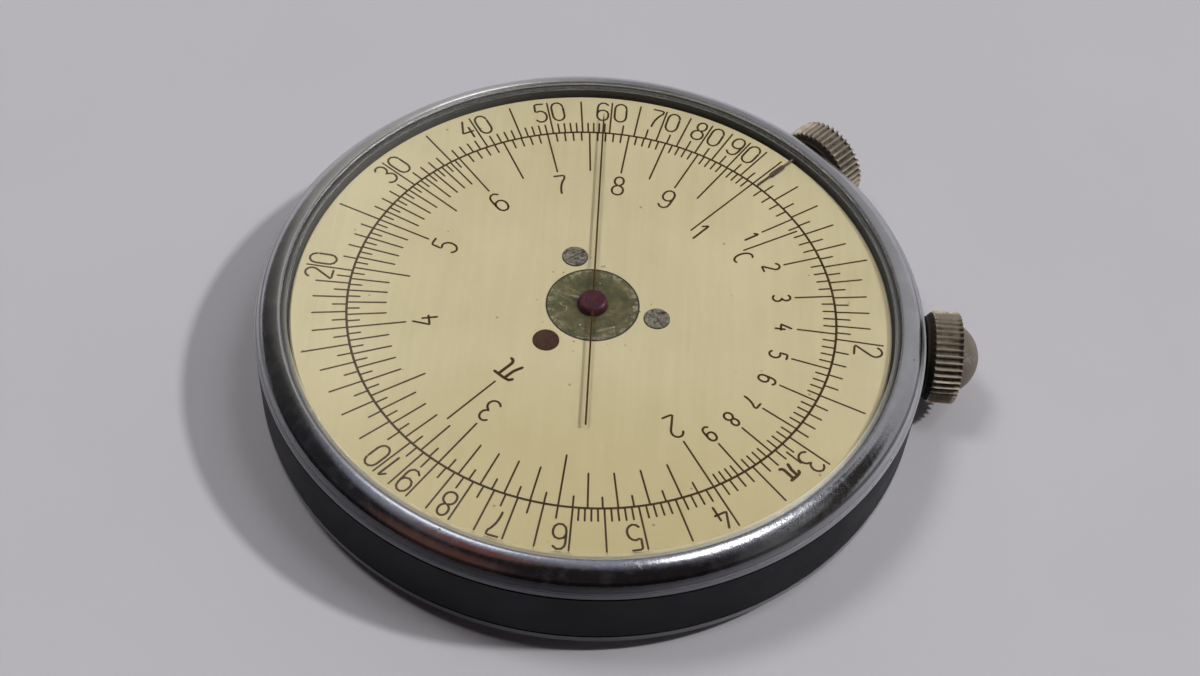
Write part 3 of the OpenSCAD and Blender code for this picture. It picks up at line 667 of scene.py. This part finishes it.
back_signs = []
for value in range(1, 10):
    back_signs += [(str(value), back_digit_r, back_az(value), back_digit_h, back_shift)]
for value in (6, 7, 8, 9, 10, 15, 20, 30, 40, 50, 60, 90):
    back_signs += number(value, sine_digit_r, back_az(10 * math.sin(math.radians(value))), sine_digit_h)
for value in (6, 7, 8, 9, 10, 15, 20, 25, 30, 35, 40):
    az = back_az(10 * math.tan(math.radians(value)))
    back_signs += number(value, tangent_digit_r, az, tangent_digit_h)
print_dial("back_scales", "case", back_z, -1, back_ticks, back_signs, [back_circle_r, sine_r, tangent_r])

# The hub: an olive-lacquered boss that fills the middle of the front dial and turns with it.
# The lacquer is rubbed pale along the edge, and hands have left scratches across it.
hub_r = 3.65
rub_from_r = hub_r - 1
rub_to_r = hub_r - 0.3
rim_from_r = hub_r - 0.15
rim_to_r = hub_r - 0.1


def lacquered(tree, shader, shade, grain, low, high, depth):
    """A painted surface: its colour, and one grain that sets its roughness, low to high, and its relief."""
    feed(tree, shader, Base_Color=shade, Roughness=spread(tree, grain, 0, 1, low, high))
    roughen(tree, shader, grain, depth)


olive_dark = srgb(44, 50, 26)
olive_light = srgb(112, 104, 66)
olive_cloud = srgb(38, 40, 22)
olive_rubbed = srgb(148, 142, 118)
olive_scratch = srgb(168, 164, 140)
olive_fleck = srgb(186, 182, 156)
olive_gap_shade = srgb(34, 30, 20)
olive, tree, shader, place = finish("olive_lacquer", Specular_IOR_Level=0.5)
_, shade = clouded(tree, place, 760, olive_dark, olive_light)
cloud = effect(tree, mottle, place, Scale=2400)
lines = effect(tree, hairlines, place, Scale=700, Cover=0.42, Width=0.008)
flecks = effect(tree, specks, place, Scale=2300, Share=0.16, Size=0.24)
edge = beyond(tree, place, rub_from_r, rub_to_r)
pale = maths(tree, "MULTIPLY", edge, spread(tree, cloud, 0.45, 0.75))
# A thin ring at the very edge of the hub is painted dark: a painted shade for the gap round the hub.
rim = beyond(tree, place, rim_from_r, rim_to_r)
shade = tint(tree, cloud, shade, olive_cloud, most=0.7)
shade = tint(tree, pale, shade, olive_rubbed, most=0.8)
shade = tint(tree, lines, shade, olive_scratch, most=0.5)
shade = tint(tree, flecks, shade, olive_fleck, most=0.7)
shade = tint(tree, rim, shade, olive_gap_shade)
lacquered(tree, shader, shade, cloud, 0.34, 0.56, 1e-5)
dress("dial_hub", olive)

# The dial screws: three slotted steel screws on each side, sunk in the dial so that the heads stand just
# proud. One front screw has gone brown with rust that fills its slot, and the slots were left pointing
# every way.
screw_pcr = 5.12
screw_az = scale_az + 60
screw_turn = 120
screw_head_r = 1.02
screw_shank_r = 0.4
screw_head_t = 0.3
screw_grime_and_shade_w = 0.05
screw_steps = 72
screw_ease = [0, 0.03, 0.03, 0.03, 0.07, 0]
slot_w = 0.22
slot_reach = 1.5
slot_depth = 0.14
slot_clear = 0.3
slot_split = 10
rust_open = 0.1
rust_light = srgb(76, 52, 41)
rust_dull = srgb(64, 46, 38)
rust_dark = srgb(44, 28, 22)
rusted, tree, shader, place = finish("rusted_steel", Specular_IOR_Level=0.2)
_, shade = clouded(tree, place, 1300, rust_light, rust_dull)
spot = effect(tree, mottle, place, Scale=4200)
shade = tint(tree, spot, shade, rust_dark, most=0.6)
lacquered(tree, shader, shade, spot, 0.6, 0.85, 2e-5)


def foot_and_top(name, side):
    """Where a piece of the frame starts and ends, seen from its own side of the case, in millimetres."""
    low, high = (v.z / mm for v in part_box(name))
    return (low, high) if side > 0 else (high, low)


def dial_screws(name, node_name, body, side, slots, rusty):
    """Screws on one circle: a turned head and shank, cut by a slot at its own angle in degrees. The slot's
    cutter is a rectangle carried down from above the head, with its end loops drawn in to their middle."""
    foot, top = foot_and_top(node_name, side)
    outline = [(0, foot), (screw_shank_r, foot), (screw_shank_r, top - side * screw_head_t)]
    outline += [(screw_head_r, top - side * screw_head_t), (screw_head_r, top), (0, top)]
    grid = turned(eased(outline, screw_ease), screw_steps)
    # The outer edge of each head is marked for grime and for the painted shade of the gap round the head.
    edge = np.hypot(grid[..., 0], grid[..., 1]) > screw_head_r - screw_grime_and_shade_w
    for i, slot in enumerate(slots):
        az = math.radians(screw_az + screw_turn * i)
        at = np.array([screw_pcr * math.cos(az), screw_pcr * math.sin(az), 0])
        metal = rusted if i == rusty else steel
        made = skin(f"{name}_{i + 1}", grid + at, metal, along=False, marks={"grime_and_shade": edge})
        turn = math.radians(slot)
        long = np.array([math.cos(turn), math.sin(turn), 0]) * slot_reach * screw_head_r
        wide = np.array([-math.sin(turn), math.cos(turn), 0]) * slot_w / 2
        loop = np.array([long + wide, long - wide, -long - wide, -long + wide]) + at
        depth = slot_depth * (rust_open if i == rusty else 1)
        levels = top + side * np.array([slot_clear, slot_clear, -depth, -depth])
        walls = np.stack([loop, loop, loop, loop]) * [1, 1, 0] + levels[:, None, None] * [0, 0, 1]
        walls[[0, 3]] = walls[[0, 3]].mean(1, keepdims=True)
        cut_out(made, skin("slot", walls, metal, along=False, split=slot_split))
        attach(made, body)
        if i == 0:
            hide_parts(node_name)


dial_screws("front_screw", "dial_screws", "dial", 1, [38, 15, 117], 1)
dial_screws("back_screw", "back_dial_screws", "case", -1, [72, 10, 140], -1)

# The needles: dark lacquered wire, flat below and round on top, one on each side of the case.
# Each lies across the arbor under a maroon cap, which is a small cone with a rounded top.
hand_az = math.radians(90.5)
hand_reach = 20.9
hand_tail = 12
hand_w = 0.15
hand_t = 0.16
tip_run = 1.2
butt_run = 0.1
tip_power, butt_power, top_power = 0.6, 0.5, 0.7
shaft_from, shaft_to = -11, 19
cap_top_r = 1.04
cap_foot_r = 1.22
cap_foot_t = 0.1
cap_steps = 96
cap_ease = [0, 0.03, 0.05, 0.28, 0]
both = (("front", 1), ("back", -1))

lacquer_dark = srgb(52, 31, 12)
lacquer_light = srgb(76, 46, 18)
lacquer, tree, shader, place = finish("needle_lacquer", Specular_IOR_Level=0.15)
tone, shade = clouded(tree, place, 800, lacquer_dark, lacquer_light)
lacquered(tree, shader, shade, tone, 0.32, 0.5, 4e-6)

maroon_dark = srgb(46, 18, 26)
maroon_light = srgb(74, 34, 44)
maroon_fleck = srgb(158, 122, 124)
maroon, tree, shader, place = finish("maroon_lacquer", Specular_IOR_Level=0.22)
tone, shade = clouded(tree, place, 1600, maroon_dark, maroon_light)
flecks = effect(tree, specks, place, Scale=5200, Share=0.4, Size=0.26)
shade = tint(tree, flecks, shade, maroon_fleck, most=0.35)
lacquered(tree, shader, shade, tone, 0.42, 0.65, 2e-5)

# Along the wire its size falls off as a power of the distance to either end; across it, the surface is
# cos(a) wide and a power of sin(a) high, for a from 0 to half a turn.
butt = np.linspace(-hand_tail, -hand_tail + butt_run, 4)
shaft = np.linspace(shaft_from, shaft_to, 7)
tip = np.linspace(hand_reach - tip_run, hand_reach, 8)
along = np.concatenate([butt, shaft, tip])
width = np.clip((hand_reach - along) / tip_run, 0, 1) ** tip_power
width *= np.clip((along + hand_tail) / butt_run, 0, 1) ** butt_power
a = np.linspace(0, np.pi, 9)
across = np.cos(a)[None, :] * width[:, None] * hand_w / 2
height = np.sin(a)[None, :] ** top_power * width[:, None] * hand_t
east = along[:, None] * math.cos(hand_az) - across * math.sin(hand_az)
north = along[:, None] * math.sin(hand_az) + across * math.cos(hand_az)
for name, side in both:
    seat = foot_and_top(f"{name}_hand", side)[0]
    grid = np.stack([east, north, seat + side * height], -1)
    wire = skin(f"{name}_needle", grid, lacquer, along=False)
    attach(wire, "hands")
    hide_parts(f"{name}_hand")

    foot, top = foot_and_top(f"{name}_hand_boss", side)
    outline = [(0, foot), (cap_foot_r, foot), (cap_foot_r, foot + side * cap_foot_t)]
    outline += [(cap_top_r, top), (0, top)]
    cap = skin(f"{name}_cap", turned(eased(outline, cap_ease, 8), cap_steps), maroon, along=False)
    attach(cap, "hands")
    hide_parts(f"{name}_hand_boss")

# The fixed pointer: a thin finger of browned sheet, held in a slot of the case neck.
# It stands over the front dial beside the stem of the crown that turns the dial.
root_from_r = 22.1
root_to_r = 22.6
browned_dark = srgb(50, 42, 32)
browned_light = srgb(84, 70, 54)
browned_root = srgb(108, 90, 68)
browned, tree, shader, place = finish("browned_sheet", Specular_IOR_Level=0.4)
tone, shade = clouded(tree, place, 1500, browned_dark, browned_light)
shade = tint(tree, beyond(tree, place, root_from_r, root_to_r), shade, browned_root)
lacquered(tree, shader, shade, tone, 0.4, 0.6, 8e-6)
dress("index_finger", browned)

# The crystals: clear acrylic, hollow underneath, with a thin flange under the bezel's lip and a frosted
# bevel round the top. They have taken fine scratches from years in a pocket.
crystal_r = 24.4
crystal_top_r = 23.88
bevel_w = 0.45
bevel_h = 0.17
bevel_in_r = crystal_top_r - bevel_w
frost_edge = 0.03
frost_rough = 0.45
scuff_rough = 0.12
hollow_r = 23.46
hollow_depth = 0.2
flange_t = 0.35
crystal_ease = [0, 0.06, 0.03, 0.04, 0.04, 0.02, 0.02, 0.05, 0]
acrylic_tone = srgb(252, 252, 250)
acrylic, tree, shader, place = finish(
    "clear_acrylic", Base_Color=(1, 1, 1, 1), Transmission_Weight=1, IOR=1.49
)
scuffs = effect(tree, hairlines, place, Scale=300, Cover=0.4, Width=0.004)
frost = beyond(tree, place, bevel_in_r - frost_edge, bevel_in_r + frost_edge, 0, frost_rough)
scuffs = maths(tree, "MULTIPLY", scuffs, scuff_rough)
feed(tree, shader, Roughness=maths(tree, "MAXIMUM", scuffs, frost))
ray = node(tree, "LightPath").outputs
through = maths(tree, "MAXIMUM", ray["Is Shadow Ray"], ray["Is Diffuse Ray"])
clear = node(tree, "BsdfTransparent", {"Color": acrylic_tone}).outputs[0]
either = node(tree, "MixShader", {0: through, 1: shader.outputs[0], 2: clear}).outputs[0]
tree.links.new(either, tree.nodes["Material Output"].inputs["Surface"])
for name, side in both:
    under, top = foot_and_top(f"{name}_crystal", side)
    ceiling = under + side * hollow_depth
    shoulder = under + side * flange_t
    outline = [(0, ceiling), (hollow_r, ceiling), (hollow_r, under)]
    outline += [(crystal_r, under), (crystal_r, shoulder), (crystal_top_r, shoulder)]
    outline += [(crystal_top_r, top - side * bevel_h), (bevel_in_r, top), (0, top)]
    glass = skin(f"{name}_glass", turned(eased(outline, crystal_ease)), acrylic, along=False)
    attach(glass, "case")
    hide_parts(f"{name}_crystal")

# The bezels: turned rings, chromed, with a satin rim over the band and a rounded top that holds the
# crystal. The chrome is bright but hazed with wear, pitted and scratched, and flaked by the thumb on one
# side. The satin rim is painted dark on the near side and light on the far side, a painted reflection of
# the room, and a painted shade darkens the crease where the rounded part meets the rim.
skirt_r = 24.52
rim_h = 3.1
round_r = 25.85
satin_r = 25.58
crease_shade_w = 0.07
crest_r = 23.7
arc_r = 2.358
arc_h = 2.132
crest_h = 4.46
lip_r = 23.9
lip_under = 4.16
bezel_steps = 360
arc_steps = 26
foot_ease = [0.04, 0.05, 0.06, 0.03]
lip_ease = [0.04, 0.06, 0.04, 0.03]
satin_reflection_way = (0.2, 0.98, 0)
satin_reflection_from, satin_reflection_to = -25.5, -7.4
thumb_way = (0.559, -0.829, 0)
thumb_from, thumb_to = 23.3, 24.3
flake_from_r, flake_to_r = 25.2, 24.9


def reach_in(tree, place, way):
    """How far a place lies out in one direction."""
    return node(tree, "VectorMath", {0: place, 1: way}, operation="DOT_PRODUCT").outputs["Value"]


def added(tree, value, extra, share):
    """A value with a share of another one added."""
    return maths(tree, "ADD", value, maths(tree, "MULTIPLY", extra, share))


chrome_light = srgb(206, 207, 212)
chrome_dull = srgb(190, 190, 196)
satin_shaded = srgb(94, 94, 99)
satin_lit = srgb(222, 222, 226)
flake_grey = srgb(70, 66, 62)
crease_shade_black = srgb(26, 24, 26)
pit_grey = srgb(104, 98, 92)
chrome, tree, shader, place = finish("rubbed_chrome")
_, shade = clouded(tree, place, 330, chrome_light, chrome_dull)
haze = effect(tree, mottle, place, Scale=2600)
lines = effect(tree, hairlines, place, Scale=900, Cover=0.45, Width=0.007)
pits = effect(tree, specks, place, Scale=2600, Share=0.12, Size=0.3)
satin = marked(tree, "satin")
# The satin is painted dark on the near side and light on the far side: a painted reflection of the room.
satin_reflection = spread(tree, reach_in(tree, place, satin_reflection_way), satin_reflection_from * mm, satin_reflection_to * mm)
thumb = spread(tree, reach_in(tree, place, thumb_way), thumb_from * mm, thumb_to * mm)
flaked = spread(tree, effect(tree, mottle, place, Scale=8200), 0.48, 0.74)
flaked = maths(tree, "MULTIPLY", flaked, thumb)
flaked = maths(tree, "MULTIPLY", flaked, beyond(tree, place, flake_from_r, flake_to_r))
smudge = spread(tree, effect(tree, mottle, place, Scale=900), 0.45, 0.95)
shade = tint(tree, satin, shade, tint(tree, satin_reflection, satin_shaded, satin_lit))
shade = tint(tree, flaked, shade, flake_grey, most=0.7)
# A painted shade darkens the crease where the rounded top meets the rim.
shade = tint(tree, marked(tree, "crease_shade"), shade, crease_shade_black, most=0.6)
shade = tint(tree, pits, shade, pit_grey, most=0.5)
rough = spread(tree, haze, 0, 1, 0.08, 0.2)
rough = added(tree, rough, lines, 0.08)
rough = added(tree, rough, satin, 0.3)
rough = added(tree, rough, flaked, 0.2)
rough = added(tree, rough, pits, 0.25)
feed(tree, shader, Base_Color=shade, Roughness=rough, Metallic=spread(tree, smudge, 0, 1, 1, 0.97))
height = noise(tree, place, 2200, 4, 0.65)
height = maths(tree, "SUBTRACT", height, maths(tree, "MULTIPLY", lines, 0.08))
height = maths(tree, "SUBTRACT", height, maths(tree, "MULTIPLY", pits, 0.4))
roughen(tree, shader, height, 8e-6)

# The rounded top is an arc of radius arc_r about (crest_r, arc_h), from the rim up to the flat crest.
start = math.atan2(rim_h - arc_h, round_r - crest_r)
bend = np.linspace(start, math.asin((crest_h - arc_h) / arc_r), arc_steps)[1:-1]
swell = np.column_stack([crest_r + arc_r * np.cos(bend), arc_h + arc_r * np.sin(bend)])
crest_end = crest_r + arc_r * math.sqrt(1 - ((crest_h - arc_h) / arc_r) ** 2)
foot = [(skirt_r, band_half), (case_r, band_half), (case_r, rim_h), (round_r, rim_h)]
lip = [(crest_end, crest_h), (lip_r, crest_h), (lip_r, lip_under), (skirt_r, lip_under)]
ease = np.concatenate([foot_ease, np.zeros(len(swell)), lip_ease])
bezel_outline = eased(np.vstack([foot, swell, lip]), ease)
on_satin = bezel_outline[:, :1] > satin_r
# Just inside the satin and above the rim, a narrow strip is marked for the painted shade of that crease.
in_crease_shade = np.abs(bezel_outline[:, :1] - satin_r + crease_shade_w) < crease_shade_w
in_crease_shade &= bezel_outline[:, 1:] > rim_h
for name, side in both:
    grid = turned(bezel_outline * [1, side] + [0, mid], bezel_steps)
    marks = {"satin": np.repeat(on_satin, grid.shape[1], axis=1)}
    marks["crease_shade"] = np.repeat(in_crease_shade, grid.shape[1], axis=1)
    ring = skin(f"{name}_rim", grid, chrome, marks=marks)
    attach(ring, "case")
    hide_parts(f"{name}_bezel")

# The crowns: fluted nickel-plated knobs on the stems, worn bright on the ridges and dark between them
# with grime and painted shade, darkest towards the flat end; the neck next to the case is painted dark
# with shade and grime as well. Each has a tapered neck, a flat end and an enamel dome that is pressed on
# over the stem's end.
crown_r = 3.65
crown_x = 26.15
taper_x = 26.35
grip_x = 26.9
shoulder_x = 28.78
crown_end_x = 28.9
end_cut = 0.12
neck_of_crown_r = 3.15
recess_r = 2.28
recess_x = 26.75
stem_hole_r = 0.82
stem_end_x = 29.05
dot_r = 2.72
dot_h = 1.75
dot_steps = 96
dome_steps = 24
knob_ease = [0.03, 0.03, 0.06, 0.06, 0.05, 0.2, 0.05, 0.04, 0.03]
knob_step = 0.13
knob_split = 60
flutes = 42
flute_depth = 0.3
flute_change = 0.03
flute_half = 0.46
steps_per_flute = 10
tail_run = 0.3
tail_depth = 0.5
# How dark grime and painted shade make the flutes, their ends and the neck by the case.
grime_and_shade_x = 26.75
grime_and_shade_out_r = dot_r + 0.1
flute_grime_and_shade = 0.92
tail_grime_and_shade = 0.3
valley_dark_from, valley_dark_run = 0.35, 0.5
tail_sooner, tail_steeper = 0.15, 0.1
neck_shade_and_grime = 1.6
flute_spread = np.random.default_rng(11)

nickel_light = srgb(218, 206, 187)
nickel_dull = srgb(180, 166, 146)
nickel_grime_and_shade = srgb(36, 30, 24)
nickel, tree, shader, place = finish("worn_nickel", Specular_IOR_Level=0.3)
wear = effect(tree, mottle, place, Scale=2600)
# Valleys and neck are darkened by grime and painted shade, as the knob's mesh marks them.
valley = marked(tree, "valley")
grime_and_shade = maths(tree, "MULTIPLY", valley, spread(tree, wear, 0, 1, 0.8, 1.05))
_, shade = clouded(tree, place, 1100, nickel_light, nickel_dull)
shade = tint(tree, grime_and_shade, shade, nickel_grime_and_shade)
rough = added(tree, spread(tree, wear, 0, 1, 0.26, 0.44), valley, 0.2)
feed(tree, shader, Base_Color=shade, Roughness=rough, Metallic=spread(tree, grime_and_shade, 0, 1, 0.6, 0.05))
roughen(tree, shader, wear, 2.6e-5)
for name in ("dial_stem_tube", "hand_stem_tube"):
    dress(name, nickel)

enamel_scratch = srgb(170, 160, 150)
enamels = {}
for name, dark, light in (
    ("black_enamel", srgb(34, 32, 28), srgb(48, 44, 38)),
    ("faded_enamel", srgb(98, 88, 79), srgb(114, 104, 95)),
):
    enamels[name], tree, shader, place = finish(name, Specular_IOR_Level=0.5)
    tone, shade = clouded(tree, place, 700, dark, light)
    lines = effect(tree, hairlines, place, Scale=900, Cover=0.4, Width=0.01)
    shade = tint(tree, lines, shade, enamel_scratch, most=0.3)
    lacquered(tree, shader, shade, tone, 0.38, 0.55, 8e-6)

knob_outline = eased(
    [
        (stem_hole_r, recess_x),
        (recess_r, recess_x),
        (recess_r, crown_x),
        (neck_of_crown_r, crown_x),
        (neck_of_crown_r, taper_x),
        (crown_r, grip_x),
        (crown_r, shoulder_x),
        (crown_r - end_cut, crown_end_x),
        (stem_hole_r, crown_end_x),
    ],
    knob_ease,
)
closed = np.vstack([knob_outline, knob_outline[:1]])
run = np.concatenate([[0], np.cumsum(np.hypot(*np.diff(closed, axis=0).T))])
stops = np.unique(np.concatenate([run[:-1], np.arange(0, run[-1], knob_step)]))
knob_outline = np.column_stack([np.interp(stops, run, closed[:, 0]), np.interp(stops, run, closed[:, 1])])


def fluted(outline):
    """A turned knob with cut flutes: the radius at azimuth a is the smaller of the outline's radius and the
    flute's, crown_r - depth * (1 - (|phase| / flute_half)^3), where phase runs from -0.5 on one ridge to
    0.5 on the next. The flutes get deeper towards the flat end, and grime and painted shade darker there.
    Gives the grid and its darkness from grime and painted shade, which is strongest on the neck."""
    a = np.linspace(0, 2 * np.pi, flutes * steps_per_flute, endpoint=False)
    phase = np.abs((a * flutes / (2 * np.pi)) % 1 - 0.5)
    hollow = np.clip(1 - (phase / flute_half) ** 3, 0, 1)
    change = flute_spread.uniform(-flute_change, flute_change, flutes)
    depth = np.repeat(flute_depth + change, steps_per_flute)
    r, s = outline.T[:, :, None]
    tail = np.clip((s - shoulder_x + tail_run) / tail_run, 0, 2)
    floor = crown_r - depth * hollow * (1 + tail_depth * tail)
    cut = np.where((s > taper_x) & (r > floor), floor, r)
    grid = np.stack([cut * np.cos(a), cut * np.sin(a), s + 0 * a], -1)
    valley_dark = (hollow - valley_dark_from + tail_sooner * tail) / (valley_dark_run - tail_steeper * tail)
    valley_dark = np.clip(valley_dark, 0, 1) * (flute_grime_and_shade + tail_grime_and_shade * tail)
    outside = (s > grime_and_shade_x) & (r > grime_and_shade_out_r)
    return grid, np.where(outside, valley_dark, 0) + np.where(s < grime_and_shade_x, neck_shade_and_grime, 0)


# The dome is a cap of a sphere through the dot's rim and its top, with a blind hole for the stem's end.
dome_r = (dot_r**2 + dot_h**2) / (2 * dot_h)
a = np.linspace(math.asin(dot_r / dome_r), 0, dome_steps)
dome = np.column_stack([dome_r * np.sin(a), crown_end_x + dot_h - dome_r + dome_r * np.cos(a)])
hole = [(0, stem_end_x), (stem_hole_r, stem_end_x), (stem_hole_r, crown_end_x)]
dot_outline = np.vstack([hole, dome])
for name, body, az, enamel, dot_slot in (
    ("dial", "dial_crown", dial_crown_az, "black_enamel", "dark_dot"),
    ("hand", "hand_crown", hand_crown_az, "faded_enamel", "red_dot"),
):
    grid, valleys = fluted(knob_outline)
    knob = skin(f"{name}_knob", on_stem(grid, az), nickel, marks={"valley": valleys}, split=knob_split)
    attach(knob, body)
    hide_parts(f"{name}_crown_head")
    dot_grid = on_stem(turned(dot_outline, dot_steps), az)
    dot = skin(f"{name}_dot", dot_grid, enamels[enamel], along=False)
    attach(dot, body)
    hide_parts(f"{name}_crown_dot")

# The table and the light: a plain pale sheet, a small and a wide lamp on the right and one high on the
# left. The walls of the room run from dark on the camera's side to bright on the far side, and dark screens
# and bright windows at set places in it give the chrome its black bands and its highlights.
floor_half = 3
table_dull = srgb(179, 177, 181)
table_light = srgb(182, 180, 184)
paper, tree, shader, place = finish("pale_table", Roughness=0.8, Specular_IOR_Level=0.2)
_, shade = clouded(tree, place, 40, table_dull, table_light)
feed(tree, shader, Base_Color=shade)
sheet = bpy.data.meshes.new("table")
spots = np.array([(-1, -1, 0), (1, -1, 0), (1, 1, 0), (-1, 1, 0)]) * floor_half
sheet.from_pydata(spots.tolist(), [], [(0, 1, 2, 3)])
sheet.materials.append(paper)
table = bpy.data.objects.new("table", sheet)
bpy.context.scene.collection.objects.link(table)


def towards(az, el):
    """The direction at an azimuth and an elevation in degrees."""
    az, el = math.radians(az), math.radians(el)
    return Vector((math.cos(el) * math.cos(az), math.cos(el) * math.sin(az), math.sin(el)))


# Each lamp: name, azimuth, elevation, distance and width in metres, power in watts
for name, az, el, away, wide, power in (
    ("lamp_right", 2, 50, 2.75, 0.22, 43),
    ("window_right", 3, 66, 3.5, 1.3, 8),
    ("lamp_left", 158, 64, 2.75, 0.8, 22),
):
    lamp = bpy.data.objects.new(name, bpy.data.lights.new(name, "AREA"))
    lamp.data.shape = "DISK"
    lamp.data.size = wide
    lamp.data.energy = power
    lamp.visible_glossy = False
    way = towards(az, el)
    lamp.matrix_world = Matrix.Translation(way * away) @ way.to_track_quat("Z", "Y").to_matrix().to_4x4()
    bpy.context.scene.collection.objects.link(lamp)

wall_dark = srgb(39, 38, 41)
ceiling_tone = srgb(150, 153, 163)
ceiling_from, ceiling_to = 0.78, 0.92
warm_green, warm_blue = 0.98, 0.93
backdrop = srgb(226, 225, 228)
room = bpy.data.worlds.new("room")
room.use_nodes = True
bpy.context.scene.world = room
tree = room.node_tree
way = node(tree, "TexCoord").outputs["Generated"]
east, north, up = node(tree, "SeparateXYZ", {0: way}).outputs
around = maths(tree, "DIVIDE", maths(tree, "ARCTAN2", north, east), 2 * math.pi)
walls = node(tree, "ValToRGB", {0: maths(tree, "ADD", around, 0.5)})
stops = walls.color_ramp.elements
for az, tone in ((-120, 33), (-60, 60), (-20, 128), (20, 166), (40, 176), (65, 160), (88, 144)):
    stops.new(az / 360 + 0.5).color = srgb(tone, tone, tone)
for az, tone in ((101, 206), (114, 176), (130, 104), (150, 56)):
    stops.new(az / 360 + 0.5).color = srgb(tone, tone * warm_green, tone * warm_blue)
stops[0].color = wall_dark
stops[-1].color = wall_dark
shade = tint(tree, spread(tree, up, ceiling_from, ceiling_to), walls.outputs[0], ceiling_tone)
# Each screen or window: azimuth, elevation, angles at which it is full and gone, and its colour
for az, el, inner, outer, colour in (
    (88, 49, 6, 9, (44, 44, 46)),
    (-90, 37, 35, 60, (35, 30, 31)),
    (-150, 72, 5, 13, (112, 70, 60)),
    (31, 57, 3, 7, (58, 48, 44)),
    (12, 45, 7, 12, (46, 40, 38)),
    (2, 31, 9, 14, (46, 40, 38)),
    (-14, 22, 8, 14, (52, 46, 44)),
    (-132, 32, 8, 22, (90, 63, 57)),
    (101, 20, 1, 5, (390, 387, 376)),
    (124, 70, 2, 10, (330, 330, 340)),
    (14, 71, 4, 10, (520, 520, 528)),
):
    near = reach_in(tree, way, towards(az, el))
    within = spread(tree, near, math.cos(math.radians(outer)), math.cos(math.radians(inner)))
    shade = tint(tree, within, shade, srgb(*colour))
ray = node(tree, "LightPath").outputs["Is Camera Ray"]
tree.links.new(tint(tree, ray, shade, backdrop), tree.nodes["Background"].inputs["Color"])
